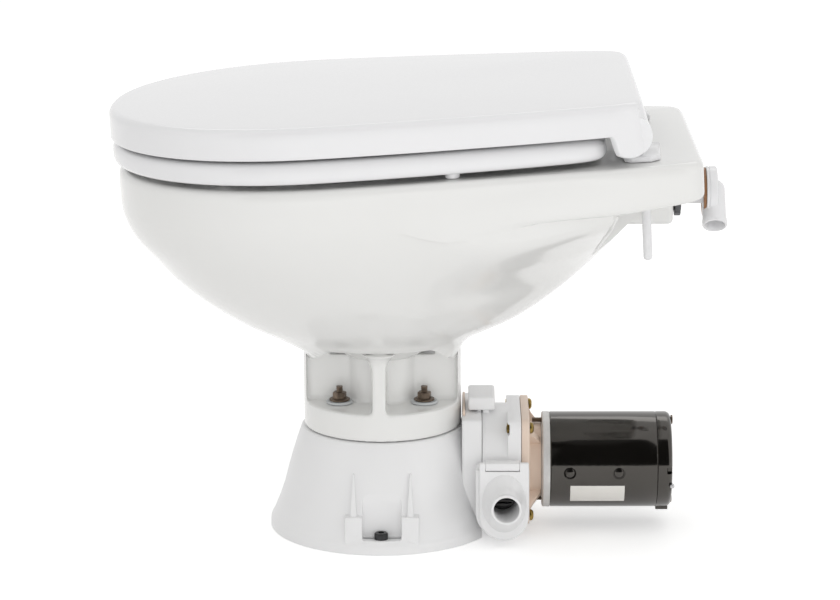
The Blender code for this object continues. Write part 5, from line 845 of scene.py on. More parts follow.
# %% [markdown]
# ## Seat ring
# The seat is a pressed plastic ring, hollow below so that its walls stay thin. Its section goes over the
# outer edge, down a skirt, up inside the hollow, across, and down again to the hole. The section is the
# same all round, so once more rings are the natural way to draw it, this time between two outlines: the
# outside and the hole. Everything is drawn level, and then leans with the rim.

# %% Seat outlines
SEAT_LOW, SEAT_HIGH, LID_LOW, LID_HIGH = 0.0052, 0.0234, 0.0254, 0.0514
HINGE_Y, HINGE_Z, PIN_BORE = 0.2020, 0.0239, 0.0033
LID_WIDEST, LID_STEPS = 0.0540, 480


def lid_edge(inset=0.0, rear=0.2130):
    return egg(0.2215, rear, 0.1740, LID_WIDEST, 20.0, 0.195, inset, LID_STEPS)


def seat_edge(inset=0.0):
    return lid_edge(0.0010 + inset, 0.1840)


def hole_edge(spread=0.0):
    return egg(0.1580 + spread, 0.0980 + spread, 0.1080 + spread, RIM_WIDEST, 2.0, 0.0, 0.0, LID_STEPS)


def level(points, height):
    return [Vector((x, y, height)) for x, y in points]


rings = [level(seat_edge(inset), SEAT_HIGH - drop) for drop, inset in quarter(0.0080, 6)]
rings += [level(seat_edge(inset), SEAT_LOW + drop) for drop, inset in reversed(quarter(0.0060, 5))]
wall = 0.0034
hollow = [(0.0060, SEAT_LOW), (0.0066, SEAT_LOW + 0.0010), (0.0070, SEAT_HIGH - 0.0060),
          (0.0090, SEAT_HIGH - wall)]
rings += [level(seat_edge(inset + wall), height) for inset, height in hollow]
hollow = [(0.0062, SEAT_HIGH - wall), (0.0042, SEAT_HIGH - 0.0060), (0.0020, SEAT_LOW + 0.0010),
          (0.0016, SEAT_LOW)]
rings += [level(hole_edge(spread + wall), height) for spread, height in hollow]
rings += [level(hole_edge(inset), SEAT_LOW + drop) for drop, inset in quarter(0.0016, 3)]
rings += [level(hole_edge(inset), SEAT_HIGH - drop) for drop, inset in reversed(quarter(0.0080, 5))]
seat = draw_through("seat_ring", rings, closed=True)
print("seat ring:", len(seat.data.polygons), "faces")

# %% [markdown]
# Two arms carry the ring to its hinge eyes, and four small buffers keep it off the rim.

# %% Seat arms and buffers
for sign in (-1.0, 1.0):
    x = sign * 0.0619
    low, high = x - 0.0060, x + 0.0060
    join(seat, bar("seat_arm", (low, 0.1650, 0.0135), (high, HINGE_Y, 0.0280), 0.0016))
    eye = turned("seat_eye", [(0.0078, 0.0), (0.0085, 0.0007), (0.0085, 0.0113), (0.0078, 0.0120)],
                 (low, HINGE_Y, HINGE_Z), ALONG_X, 40)
    join(seat, eye)
    drill(seat, "pin_hole", (low - 0.004, HINGE_Y, HINGE_Z), (high + 0.004, HINGE_Y, HINGE_Z), PIN_BORE,
          steps=32)
    for x, y in ((0.1280, -0.1200), (0.1460, 0.0600)):
        profile = [(0.0050, 0.0003), (0.0060, 0.0014), (0.0060, 0.0200)]
        join(seat, turned("seat_buffer", profile, (sign * x, y, 0.0), steps=32))
on_deck(seat)
hand_over(seat, "seat_plastic", "seat", "seat")

# %% [markdown]
# ## Lid
# The lid is a deep tray turned upside down, crowned a little. Its skirt is cut away at the rear, except at
# the two ends, where it reaches down to the hinge as a rounded ear. The height of the skirt's lower edge is
# therefore a line of its own along the outline, and the rings are drawn down to that line.

# %% Lower edge of the skirt
EAR_RADIUS, EAR_INNER = 0.0168, 0.1095


def leaned(x, y, height):
    """A point of the lid: its rear face leans out on the way down to the ears."""
    lower = min(max((LID_HIGH - 0.0060 - height) / 0.0215, 0.0), 1.0)
    return Vector((x, y + 0.0058 * lower * ease((y - 0.1900) / 0.0220), height))


def skirt_end(x, y):
    """Height of the skirt's lower edge at a place on the lid's outline."""
    off = leaned(x, y, 0.0).y - HINGE_Y
    if off < -EAR_RADIUS:
        return LID_LOW
    ear = HINGE_Z - math.sqrt(max(EAR_RADIUS ** 2 - off * off, 0.0))
    ear = between(LID_LOW, ear, ease((off + 0.0156) / 0.0064))
    inward = ease((abs(x) - EAR_INNER + 0.0010) / 0.0045)
    return between(LID_HIGH - 0.0120, ear, inward) if y > 0.2050 else ear


def lid_ring(inset, height):
    return [leaned(x, y, height) for x, y in lid_edge(inset)]


def shrunk(inset, spread, height):
    """The lid's outline, drawn in to this share of its size, at one height."""
    return [Vector((x * spread, -LID_WIDEST + (y + LID_WIDEST) * spread, height)) for x, y in lid_edge(inset)]


def skirt_ring(inset, lift):
    ring = []
    for (x, y), (edge_x, edge_y) in zip(lid_edge(inset), lid_edge()):
        ring.append(leaned(x, y, skirt_end(edge_x, edge_y) + lift))
    return ring


def under_top(inset, height):
    """A ring at this height, or above the skirt's lower edge where that is higher."""
    ring = []
    for (x, y), edge in zip(lid_edge(inset), skirt_ring(inset, 0.0040)):
        ring.append(leaned(x, y, max(height, edge.z)))
    return ring


print("skirt ends at", [round(skirt_end(0.139, y), 4) for y in (0.10, 0.18, 0.19, 0.20, 0.21)])

# %% Lid shell
rings = []
for spread in (0.02, 0.10, 0.22, 0.36, 0.50, 0.64, 0.78, 0.90, 0.97):
    lift = 0.0022 * (1.0 - spread ** 3)
    rings.append(shrunk(0.0060, spread, LID_HIGH - 0.0010 + lift))
rings += [lid_ring(inset, LID_HIGH - 0.0010 - drop) for drop, inset in quarter(0.0060, 6)]
rings.append(under_top(0.0, LID_HIGH - 0.0110))
for inset, lift in ((0.0, 0.0030), (0.0, 0.0012), (0.0004, 0.0004), (0.0014, 0.0), (0.0028, 0.0),
                    (0.0036, 0.0004), (0.0040, 0.0012)):
    rings.append(skirt_ring(inset, lift))
rings += [under_top(0.0042, LID_HIGH - 0.0105), lid_ring(0.0048, LID_HIGH - 0.0066),
          lid_ring(0.0080, LID_HIGH - 0.0046)]
rings += [shrunk(0.0080, spread, LID_HIGH - 0.0040) for spread in (0.90, 0.60, 0.30, 0.04)]
lid = draw_through("lid_shell", rings)
print("lid shell:", len(lid.data.polygons), "faces")

# %% Ears, bosses and buffers of the lid
for sign in (-1.0, 1.0):
    near, far = sorted((sign * EAR_INNER, sign * 0.1345))
    hub = [(0.0156, 0.0), (0.0164, 0.0008), (0.0164, far - near)]
    start = (sign * EAR_INNER, HINGE_Y, HINGE_Z)
    join(lid, turned("ear_hub", hub, start, (sign, 0.0, 0.0), 64))
    join(lid, bar("ear_web", (near, 0.1880, HINGE_Z), (far, 0.2090, LID_HIGH - 0.0060), 0.0010))
    inner = sign * EAR_INNER
    drill(lid, "pin_hole", (inner - sign * 0.004, HINGE_Y, HINGE_Z),
          (inner + sign * 0.0130, HINGE_Y, HINGE_Z), PIN_BORE, steps=32)
    for x, y in ((0.1180, -0.1250), (0.1320, 0.0500)):
        profile = [(0.0050, 0.0237), (0.0060, 0.0246), (0.0060, 0.0269), (0.0070, 0.0272), (0.0074, 0.0480)]
        join(lid, turned("lid_buffer", profile, (sign * x, y, 0.0), steps=32))
on_deck(lid)
hand_over(lid, "seat_plastic", "lid", "lid")

# %% [markdown]
# ## Hinges
# Each hinge is a post on a wide foot plate, which reaches out under the ear, a steel pin, a plastic bolt
# through the deck and a nut under it. The long bolts hang down visibly and have a shallow thread: round
# rings whose radius goes up and down with both the height and the angle make one spiral groove.

# %% Threaded rod
def threaded(name, start, end, radius, pitch, depth, end_radius=None, steps=20):
    """A rod with a spiral thread between two points; its far end may be thinner."""
    start, end = Vector(start), Vector(end)
    along = (end - start).normalized()
    across = along.orthogonal().normalized()
    up = along.cross(across)
    length = (end - start).length
    turns = length / pitch
    count = int(turns * 4)
    thin = radius if end_radius is None else end_radius
    rings = []
    for index in range(count + 1):
        height = length * index / count
        size = between(radius, thin, height / length)
        ring = []
        for step in range(steps):
            angle = 2.0 * math.pi * step / steps
            wave = math.cos(2.0 * math.pi * (height / pitch) - angle)
            fade = min(1.0, 1.2 * min(height, length - height) / pitch)
            reach = size - depth * fade * (0.5 - 0.5 * wave)
            ring.append(start + along * height + (across * math.cos(angle) + up * math.sin(angle)) * reach)
        rings.append(ring)
    return draw_through(name, rings)


def hexagon(name, start, end, radius, chamfer=0.0006):
    """A hexagonal nut or head with its corners turned off."""
    nut = rod(name, start, end, radius, steps=6)
    soften(nut, chamfer, 2, 40.0)
    return nut


# %% Hinge posts, bolts, nuts and pins
for side, sign in SIDES:
    x = sign * HINGE_X
    foot = [(x + sign * out, y) for out, y in ((-0.0140, 0.1910), (0.0410, 0.1960), (0.0460, 0.2010),
                                               (0.0460, 0.2175), (0.0390, 0.2250), (-0.0140, 0.2280))]
    post = slab(f"hinge_post_{side}_looks", foot[::int(sign)], (0.0, 0.0, 0.0003), 0.0050, ALONG_X, ALONG_Y)
    soften(post, 0.0016, 3)
    join(post, bar("upright", (x - 0.0090, HINGE_Y - 0.0062, 0.0030),
                   (x + 0.0090, HINGE_Y + 0.0062, HINGE_Z), 0.0012))
    head = [(0.0057, 0.0), (0.0065, 0.0008), (0.0065, 0.0172), (0.0057, 0.0180)]
    join(post, turned("head", head, (x - 0.0090, HINGE_Y, HINGE_Z), ALONG_X, 40))
    drill(post, "pin_bore", (x - 0.013, HINGE_Y, HINGE_Z), (x + 0.013, HINGE_Y, HINGE_Z), PIN_BORE, steps=32)
    drill(post, "bolt_hole", (x, BOLT_Y, -0.004), (x, BOLT_Y, 0.009), 0.0043, steps=32)
    hand_over(on_deck(post), "seat_plastic", "toilet", f"hinge_post_{side}")
    bolt = threaded(f"hinge_bolt_{side}_looks", (x, BOLT_Y, 0.0062), (x, BOLT_Y, -0.0860),
                    0.0040, 0.0024, 0.0002, 0.0038)
    tip = [(0.0037, 0.0), (0.0036, 0.0012), (0.0031, 0.0024), (0.0021, 0.0032), (0.0008, 0.0035)]
    join(bolt, turned("bolt_tip", tip, (x, BOLT_Y, -0.0855), (0.0, 0.0, -1.0), steps=32))
    join(bolt, turned("bolt_head", [(0.0050, 0.0056), (0.0050, 0.0068), (0.0043, 0.0075), (0.0030, 0.0076)],
                      (x, BOLT_Y, 0.0), steps=32))
    hand_over(on_deck(bolt), "seat_plastic", "toilet", f"hinge_bolt_{side}")
    nut = hexagon(f"hinge_nut_{side}_looks", (x, BOLT_Y, -0.0213), (x, BOLT_Y, -0.0103), 0.0130, 0.0010)
    drill(nut, "nut_bore", (x, BOLT_Y, -0.0300), (x, BOLT_Y, -0.0050), 0.0043, steps=32)
    hand_over(on_deck(nut), "seat_plastic", "toilet", f"hinge_nut_{side}")
    low, high = sorted((sign * 0.0559, sign * 0.1192))
    pin = [(0.0022, 0.0), (0.0030, 0.0008), (0.0030, high - low - 0.0008), (0.0022, high - low)]
    pin = turned(f"hinge_pin_{side}_looks", pin, (low, HINGE_Y, HINGE_Z), ALONG_X, 32)
    hand_over(on_deck(pin), "stainless_steel", "toilet", f"hinge_pin_{side}")

# %% [markdown]
# ## Water inlet
# The inlet is an elbow: a collar against its washer, a shank that goes through the nut into the channel,
# and a wide tube that hangs from it, with a round end above and a short flared barb below. Such a moulding
# is a set of turned shapes that meet, and the two bores meet at the corner inside.

# %% Inlet elbow
ELBOW_Y = 0.2765
ELBOW_TURN = math.radians(42.0)
hang = Vector((math.sin(ELBOW_TURN), 0.0, -math.cos(ELBOW_TURN)))
corner = Vector((0.0, ELBOW_Y, INLET_Z))
tube = [(0.0020, -0.0092), (0.0050, -0.0088), (0.0074, -0.0076), (0.0090, -0.0056), (0.0097, -0.0030),
        (0.0098, 0.0), (0.0098, 0.0200), (0.0100, 0.0255), (0.0104, 0.0280), (0.0104, 0.0312),
        (0.0100, 0.0322), (0.0088, 0.0325)]
elbow = turned("elbow_tube", tube, corner, hang, 64)
collar = [(0.0095, 0.0), (0.0210, 0.0), (0.0215, 0.0005), (0.0215, 0.0018), (0.0208, 0.0021),
          (0.0208, 0.0026), (0.0215, 0.0029), (0.0215, 0.0080), (0.0210, 0.0088), (0.0200, 0.0091),
          (0.0100, 0.0091)]
join(elbow, turned("elbow_collar", collar, (0.0, 0.2700, INLET_Z), ALONG_Y, 72))
join(elbow, rod("elbow_shank", (0.0, 0.2300, INLET_Z), (0.0, 0.2720, INLET_Z), 0.0095, steps=48))
drill(elbow, "shank_bore", (0.0, 0.2250, INLET_Z), (0.0, 0.2780, INLET_Z), 0.0065, steps=48)
bore = [(0.0065, -0.0020), (0.0070, 0.0), (0.0078, 0.0290), (0.0082, 0.0318), (0.0090, 0.0330)]
cut(elbow, turned("elbow_bore", bore, corner, hang, 48))
hand_over(elbow, "seat_plastic", "inlet_elbow", "inlet_elbow")

# %% Nut and washer on the inlet
nut = rod("inlet_nut_looks", (0.0, 0.2441, INLET_Z), (0.0, 0.2488, INLET_Z), 0.0196, steps=48)
for step in range(12):
    angle = 2.0 * math.pi * (step + 0.5) / 12
    out = Vector((math.cos(angle), 0.0, math.sin(angle)))
    start = Vector((0.0, 0.2430, INLET_Z)) + out * 0.0206
    drill(nut, "grip", start, start + Vector((0.0, 0.0090, 0.0)), 0.0022, steps=16)
drill(nut, "nut_bore", (0.0, 0.2400, INLET_Z), (0.0, 0.2550, INLET_Z), 0.0098, steps=48)
soften(nut, 0.0004, 2, 40.0)
hand_over(nut, "nut_grey", "toilet", "inlet_nut")

# %% [markdown]
# ## Base housing
# The base is one hollow moulding: a cone that stands on a flange, with a recess on each side for the floor
# bolt. A cone is turned from its half section. Two towers and two thin gussets frame each recess, and
# moulded edges are never sharp, so the towers and the rear plate are bevelled before they are joined, and the
# recess before it is cut.

# %% Cone with its flange
BASE_TOP, FLANGE_RADIUS, WALL = 0.0880, 0.0960, 0.0045
CONE_ROWS = [(0.0120, 0.0925), (0.0160, 0.0916), (0.0260, 0.0874), (0.0370, 0.0838), (0.0470, 0.0812),
             (0.0580, 0.0782), (0.0680, 0.0752), (0.0790, 0.0716), (0.0862, 0.0690)]


def cone_radius(height):
    """Outer radius of the cone at a height."""
    if height <= CONE_ROWS[0][0]:
        return CONE_ROWS[0][1]
    for (low, wide), (high, narrow) in zip(CONE_ROWS, CONE_ROWS[1:]):
        if height <= high:
            return between(wide, narrow, (height - low) / (high - low))
    return CONE_ROWS[-1][1]


section = [(0.0660, BASE_TOP), (0.0676, 0.0878), (0.0684, 0.0872)]
heights = [0.0862 - 0.0062 * step for step in range(13)]
section += [(cone_radius(height), height) for height in heights if height > 0.0135]
section += [(0.0930, 0.0122), (0.0937, 0.0104), (0.0945, 0.0092), (0.0953, 0.0082), (0.0958, 0.0068),
            (FLANGE_RADIUS, 0.0050), (FLANGE_RADIUS, 0.0003), (0.0957, 0.0)]
section += [(0.0880, 0.0), (0.0876, 0.0120), (cone_radius(0.0260) - WALL, 0.0260)]
section += [(cone_radius(0.0580) - WALL, 0.0580), (0.0645, 0.0810), (0.0100, 0.0810), (0.0100, BASE_TOP)]
base = turned("base_cone", section, steps=160, closed=True)
join(base, rod("top_plate", (0.0, 0.0, 0.0810), (0.0, 0.0, BASE_TOP), 0.0300, steps=64))
print("cone:", len(base.data.polygons), "faces")

# %% [markdown]
# The recess, its towers and its gussets are cut and joined on both sides. A gusset is a thin triangle that
# starts on top of its tower and runs out into the cone further up.

# %% Towers, gussets and bolt recess
FLOOR_BOLT_X = 0.0860
envelope_rows = [(0.0002, 0.0850), (0.0665, 0.0850)]
envelope_rows += [(cone_radius(height) - 0.0020, height) for height in heights if height > 0.0135]
envelope_rows += [(0.0905, 0.0120), (0.0905, 0.0), (0.0002, 0.0)]
for side, sign in SIDES:
    lining = side_bar("recess_lining", sign, 0.0725, 0.0805, (-0.0215, 0.0), (0.0215, 0.0610))
    join(base, common(lining, turned("envelope", envelope_rows, steps=96)))
    for low, high in ((-0.0300, -0.0155), (0.0170, 0.0315)):
        join(base, side_bar("tower", sign, 0.0725, 0.0905, (low, 0.0), (high, 0.0310), 0.0009, 2))
        middle = (low + high) / 2.0
        fin = [(sign * out, height) for out, height in (
            (0.0725, 0.0290), (0.0880, 0.0290), (cone_radius(0.045) + 0.0016, 0.0450),
            (cone_radius(0.0640) - 0.0012, 0.0640), (0.0700, 0.0640))]
        gusset = slab("gusset", fin, (0.0, middle - 0.0032, 0.0), -0.0064, ALONG_X, UPWARD)
        near, far = sorted((sign * 0.0600, sign * 0.1000))
        taper = plate_yz("taper", [(-0.0032, 0.0200), (0.0032, 0.0200), (0.0004, 0.0650), (-0.0004, 0.0650)],
                         near, far - near, middle)
        join(base, common(gusset, taper))
    recess = [(0.0790, 0.0116), (0.1100, 0.0116), (0.1100, 0.0900), (0.0830, 0.0640), (0.0808, 0.0500),
              (0.0796, 0.0380)]
    recess = slab("bolt_recess", recess, (0.0, 0.0170, 0.0), 0.0325 * sign, (sign, 0.0, 0.0), UPWARD)
    cut(base, soften(recess, 0.0012, 2))
    x = sign * FLOOR_BOLT_X
    drill(base, "floor_hole", (x, 0.0, -0.004), (x, 0.0, 0.014), 0.0035, steps=32)
print("with recesses:", len(base.data.polygons), "faces")

# %% [markdown]
# Behind the cone stands a flat plate that carries the pump. A duct leads from the sump through it. The
# plate's front runs into the cone.

# %% Rear plate, sump and duct
join(base, rod("sump", (0.0, 0.0, 0.0), (0.0, 0.0, 0.0850), 0.0320, steps=96))
join(base, rod("duct", (0.0, 0.0200, 0.0550), (0.0, 0.0800, 0.0550), 0.0310, steps=96))
join(base, bar("rear_plate", (-0.0450, 0.0670, 0.0080), (0.0450, 0.0875, 0.1015), 0.0024, 3))
cut(base, bar("rear_face", (-0.1000, 0.0835, -0.0040), (0.1000, 0.1050, 0.1080)))
join(base, bar("base_lug", (-0.0160, 0.0800, 0.0980), (0.0160, 0.0832, 0.1110), 0.0006, 2))
drill(base, "sump_bore", (0.0, 0.0, 0.0060), (0.0, 0.0, 0.0920), 0.0270, steps=96)
drill(base, "duct_bore", (0.0, 0.0, 0.0550), (0.0, 0.0900, 0.0550), 0.0255, steps=96)
for x, y in STUD_PLACES:
    drill(base, "stud_hole", (x, y, 0.0770), (x, y, 0.0920), 0.0031, steps=24)
hand_over(base, "base_plastic", "toilet", "base_housing")

# %% [markdown]
# ## Bolts at the foot
# The floor bolts have a round head with a hexagon socket. On the ledge each stud carries a pale pad, a
# steel washer and a nut, and ends in a few turns of thread.

# %% Floor bolts
black_oxide = finish("black_oxide", (0.06, 0.06, 0.062), (0.03, 0.03, 0.032), (0.22, 0.42), patch=200.0,
                     grain=1500.0, bump=0.15, metal=0.7)
for side, sign in SIDES:
    x = sign * FLOOR_BOLT_X
    profile = [(0.0024, 0.0171), (0.0048, 0.0170), (0.0055, 0.0165), (0.0057, 0.0157), (0.0057, 0.0094),
               (0.0030, 0.0094), (0.0030, 0.0003)]
    bolt = turned(f"floor_bolt_{side}_looks", profile, (x, 0.0, 0.0), steps=48)
    drill(bolt, "socket", (x, 0.0, 0.0132), (x, 0.0, 0.0200), 0.0029, steps=6)
    hand_over(bolt, "stainless_steel", "toilet", f"floor_bolt_{side}")
    bolt.data.materials[0] = black_oxide

# %% Studs, nuts, washers and pads on the ledge
for name, x, y in (("front_left", -0.0250, -0.0355), ("front_right", 0.0250, -0.0355),
                   ("rear_left", -0.0250, 0.0355), ("rear_right", 0.0250, 0.0355)):
    pad = [(0.0034, 0.1118), (0.0106, 0.1118), (0.0113, 0.1123), (0.0113, 0.1133), (0.0107, 0.1138),
           (0.0034, 0.1138)]
    pad = turned(f"bowl_pad_{name}_looks", pad, (x, y, 0.0), steps=48, closed=True)
    hand_over(pad, "pale_rubber", "toilet", f"bowl_pad_{name}")
    stud = threaded(f"bowl_bolt_{name}_looks", (x, y, 0.0813), (x, y, 0.1260), 0.0028, 0.0013, 0.0004)
    washer = [(0.0020, 0.1141), (0.0084, 0.1141), (0.0086, 0.1144), (0.0086, 0.1153), (0.0080, 0.1156),
              (0.0020, 0.1156)]
    join(stud, turned("washer", washer, (x, y, 0.0), steps=48))
    join(stud, hexagon("nut", (x, y, 0.1150), (x, y, 0.1211), 0.0060))
    hand_over(stud, "dark_steel", "toilet", f"bowl_bolt_{name}")
gasket = [(0.0220, 0.0882), (0.0632, 0.0882), (0.0635, 0.0883), (0.0635, 0.0885), (0.0632, 0.0887),
          (0.0220, 0.0887)]
gasket = turned("bowl_gasket_looks", gasket, steps=128, closed=True)
for x, y in STUD_PLACES:
    drill(gasket, "gasket_hole", (x, y, 0.0860), (x, y, 0.0920), 0.0045, steps=24)
hand_over(gasket, "black_rubber", "toilet", "bowl_gasket")

# %% [markdown]
# ## Pump housing
# The pump is a round chamber with a square flange behind it and an outlet block on the right. Round and
# square shapes meet here, so the housing is made from simple solids that are joined. The square flange has
# round corners, drawn as an outline and extruded.

# %% Outlines of flange and block
AXIS_Z = 0.0550
FLANGE_FRONT, FLANGE_REAR, FLANGE_HALF = 0.1050, 0.1165, 0.0460
BLOCK_Y, BLOCK_HALF, BLOCK_TOP, BLOCK_LOW = 0.1005, 0.0222, 0.0653, 0.0288
PORT_Y, PORT_HALF, PORT_TOP, PORT_LOW, PORT_Z = 0.1018, 0.0204, 0.0728, 0.0267, 0.0430


def square_outline(half, corner, steps=6):
    """A square with round corners."""
    points = []
    for index, (sx, sy) in enumerate(((1, 1), (-1, 1), (-1, -1), (1, -1))):
        for step in range(steps + 1):
            angle = math.pi / 2.0 * (index + step / steps)
            points.append((sx * (half - corner) + corner * math.cos(angle),
                           sy * (half - corner) + corner * math.sin(angle)))
    return points


def u_outline(middle, half, top, low, steps=24):
    """Flat on top and half round below."""
    points = [(middle + half, top), (middle - half, top)]
    for step in range(steps + 1):
        angle = math.pi * (1.0 + step / steps)
        points.append((middle + half * math.cos(angle), low + half * math.sin(angle)))
    return points


def square_plate(name, half, corner, front, rear):
    """A plate across the motor's axis."""
    return slab(name, square_outline(half, corner), (0.0, front, AXIS_Z), rear - front, UPWARD,
                ALONG_X)


def on_axis(name, profile, steps=96, closed=False):
    """A shape turned about the motor's axis, with heights along +Y."""
    return turned(name, profile, (0.0, 0.0, AXIS_Z), ALONG_Y, steps, closed)


SCREW_HOLE = 0.0024
screw_places = [(sx * 0.0380, AXIS_Z + sz * 0.0380) for sx in (-1, 1) for sz in (-1, 1)]
print("corner screws:", screw_places)

# %% Pump housing
pump = on_axis("pump_housing_looks", [(0.0476, 0.0840), (0.0480, 0.0844), (0.0480, 0.1080)], 128)
flange = square_plate("flange", FLANGE_HALF, 0.0100, FLANGE_FRONT, FLANGE_REAR)
join(pump, soften(flange, 0.0008, 2, 40.0))
join(pump, bar("pump_lug", (-0.0160, 0.0846, 0.0980), (0.0160, 0.0900, 0.1108), 0.0006, 2))
neck = plate_yz("neck", u_outline(BLOCK_Y, 0.0195, 0.0630, BLOCK_LOW), 0.0300, 0.0396)
limit = bar("limit", (-0.01, 0.0852, -0.01), (0.08, 0.1160, 0.09))
join(pump, common(neck, limit))
block = plate_yz("block", u_outline(BLOCK_Y, BLOCK_HALF, BLOCK_TOP, BLOCK_LOW), 0.0476, 0.0221)
join(pump, soften(block, 0.0009, 3, 40.0))
drill(pump, "chamber", (0.0, 0.0890, AXIS_Z), (0.0, 0.1300, AXIS_Z), 0.0425, steps=128)
drill(pump, "pump_inlet", (0.0, 0.0800, AXIS_Z), (0.0, 0.0920, AXIS_Z), 0.0255, steps=96)
drill(pump, "pump_outlet", (0.0300, BLOCK_Y, PORT_Z), (0.0800, BLOCK_Y, PORT_Z), 0.0109, steps=64)
drill(pump, "valve_seat", (0.0663, BLOCK_Y, PORT_Z), (0.0800, BLOCK_Y, PORT_Z), 0.0158, steps=64)
for x, z in screw_places:
    drill(pump, "flange_hole", (x, 0.1010, z), (x, 0.1200, z), SCREW_HOLE, steps=24)
    if x < 0.0 or z > AXIS_Z:
        nearest, farthest = sorted((x - math.copysign(0.0060, x), x + math.copysign(0.0120, x)))
        cut(pump, bar("nut_pocket", (nearest, 0.1040, z - 0.0045), (farthest, 0.1068, z + 0.0045), 0.0006, 2))
hand_over(pump, "base_plastic", "toilet", "pump_housing")
seal = on_axis("pump_seal_looks", [(0.0414, 0.0836), (0.0442, 0.0836), (0.0445, 0.0837), (0.0442, 0.0839),
               (0.0414, 0.0839)], closed=True)
hand_over(seal, "black_rubber", "toilet", "pump_seal")

# %% [markdown]
# The discharge port is a plate of much the same outline as the block, but it stands higher. Its nozzle
# starts as an upright oval, becomes round and points a little to the rear. Such a change of section is
# once more a row of rings. The nozzle's mouth is rolled over into a thin lip.

# %% Discharge port
def oval_ring(x, height, wide, tall, middle=BLOCK_Y, steps=64):
    """Points round an oval that faces +X, at the given x and height."""
    ring = []
    for step in range(steps):
        angle = 2.0 * math.pi * step / steps
        ring.append(Vector((x, middle + wide * math.cos(angle), height + tall * math.sin(angle))))
    return ring


port = plate_yz("discharge_port_looks", u_outline(PORT_Y, PORT_HALF, PORT_TOP, PORT_LOW), 0.0700, 0.0050)
soften(port, 0.0010, 3, 40.0)
oval_middle, oval_half = 0.0381, 0.0256
NOZZLE_ROUND = 0.0930  # x from which the nozzle is round
rings = []
for step in range(15):
    share = step / 14
    bend = ease(share)
    foot = 0.0016 * max(0.0, 1.0 - 6.0 * share) ** 2
    rings.append(oval_ring(between(0.0720, NOZZLE_ROUND, share), between(oval_middle, PORT_Z, bend),
                           between(0.0188, 0.0134, bend) + foot, between(oval_half, 0.0134, bend) + foot,
                           PORT_Y + 0.0009 * share))
for x, radius in ((0.0965, 0.0130), (0.1000, 0.0127), (0.1022, 0.0125), (0.1030, 0.0128), (0.1046, 0.0129),
                  (0.1055, 0.0126), (0.1059, 0.0120)):
    rings.append(oval_ring(x, PORT_Z - 0.0010 * ease((x - NOZZLE_ROUND) / 0.0100), radius, radius,
                           PORT_Y + 0.0009 + 0.0006 * (x - NOZZLE_ROUND) / 0.0129))
join(port, draw_through("nozzle", rings))
rings = []
for x, radius in ((0.0657, 0.0112), (0.0780, 0.0110), (0.0860, 0.0106), (0.0930, 0.0104), (0.1000, 0.0104),
                  (0.1049, 0.0105), (0.1055, 0.0107), (0.1058, 0.0112), (0.1061, 0.0120)):
    rings.append(oval_ring(x, PORT_Z - 0.0010 * ease((x - NOZZLE_ROUND) / 0.0100), radius, radius,
                           between(BLOCK_Y, 0.1033, min(max((x - 0.0780) / 0.0220, 0.0), 1.0))))
cut(port, draw_through("nozzle_bore", rings))
cut(port, bar("port_slot", (0.0600, 0.0862, 0.0657), (0.0800, 0.1148, 0.0800)))
hand_over(port, "base_plastic", "toilet", "discharge_port")
retainer = bar("port_retainer_looks", (0.0645, 0.0865, 0.0664), (0.0750, 0.1145, 0.0728), 0.0007, 3)
hand_over(retainer, "base_plastic", "toilet", "port_retainer")

# %% [markdown]
# In the nozzle sits a one-way rubber valve: a sleeve whose end is squeezed flat to a slit.

# %% Joker valve
rings = [oval_ring(x, PORT_Z, radius, radius)
         for x, radius in ((0.0666, 0.0155), (0.0692, 0.0155), (0.0694, 0.0152), (0.0694, 0.0106))]
for step in range(9):
    share = step / 8
    rings.append(oval_ring(between(0.0697, 0.0872, share), PORT_Z, 0.0104 - 0.0006 * share,
                           between(0.0104, 0.0026, ease(share))))
for step in range(9):
    share = 1.0 - step / 8
    rings.append(oval_ring(between(0.0697, 0.0872, share), PORT_Z, 0.0088 - 0.0008 * share,
                           between(0.0088, 0.0009, ease(share))))
rings.append(oval_ring(0.0666, PORT_Z, 0.0089, 0.0089))
valve = draw_through("joker_valve_looks", rings, closed=True)
hand_over(valve, "black_rubber", "toilet", "joker_valve")

# %% [markdown]
# A clip of the same plastic straddles the joint between base and pump, and a pale brown spacer fills the
# room in front of it.

# %% Lock clip and spacer
clip = bar("lock_clip_looks", (-0.0210, 0.0723, 0.1033), (0.0210, 0.0948, 0.1148), 0.0020, 4)
cut(clip, bar("clip_slot", (-0.0163, 0.0797, 0.0990), (0.0163, 0.0908, 0.1113), 0.0005, 2))
hand_over(clip, "base_plastic", "toilet", "lock_clip")
spacer = bar("clip_spacer_looks", (-0.0320, 0.0675, 0.1018), (0.0320, 0.0697, 0.1058), 0.0009, 3)
hand_over(spacer, "adapter_plastic", "toilet", "clip_spacer")

# %% [markdown]
# ## Motor adapter
# A reddish-brown moulding joins pump and motor. Its hub is braced against the flange by four diagonal
# ribs that end at the brass screws. Ribs and draft are what make a moulding look moulded, so the ribs are
# drawn as wedges and every edge is slightly round.

# %% Adapter
HUB_REAR = 0.1337
adapter = square_plate("motor_adapter_looks", FLANGE_HALF, 0.0100, 0.1168, 0.1235)
soften(adapter, 0.0008, 2, 40.0)
hub = [(0.0330, 0.1220), (0.0330, 0.1236), (0.0322, 0.1242), (0.0318, 0.1252), (0.0314, HUB_REAR)]
join(adapter, on_axis("hub", hub))
for index in range(4):
    angle = math.pi / 4.0 + math.pi / 2.0 * index
    out = Vector((math.cos(angle), 0.0, math.sin(angle)))
    rib = [(0.0285, 0.1205), (0.0489, 0.1205), (0.0487, 0.1243), (0.0440, 0.1262), (0.0345, 0.1327),
           (0.0285, 0.1327)]
    wedge = slab("rib", rib, Vector((0.0, 0.0, AXIS_Z)), 0.0056, out, ALONG_Y)
    side = out.cross(Vector(ALONG_Y)).normalized()
    wedge.location = -side * 0.0028
    join(adapter, soften(settle(wedge), 0.0006, 2, 40.0))
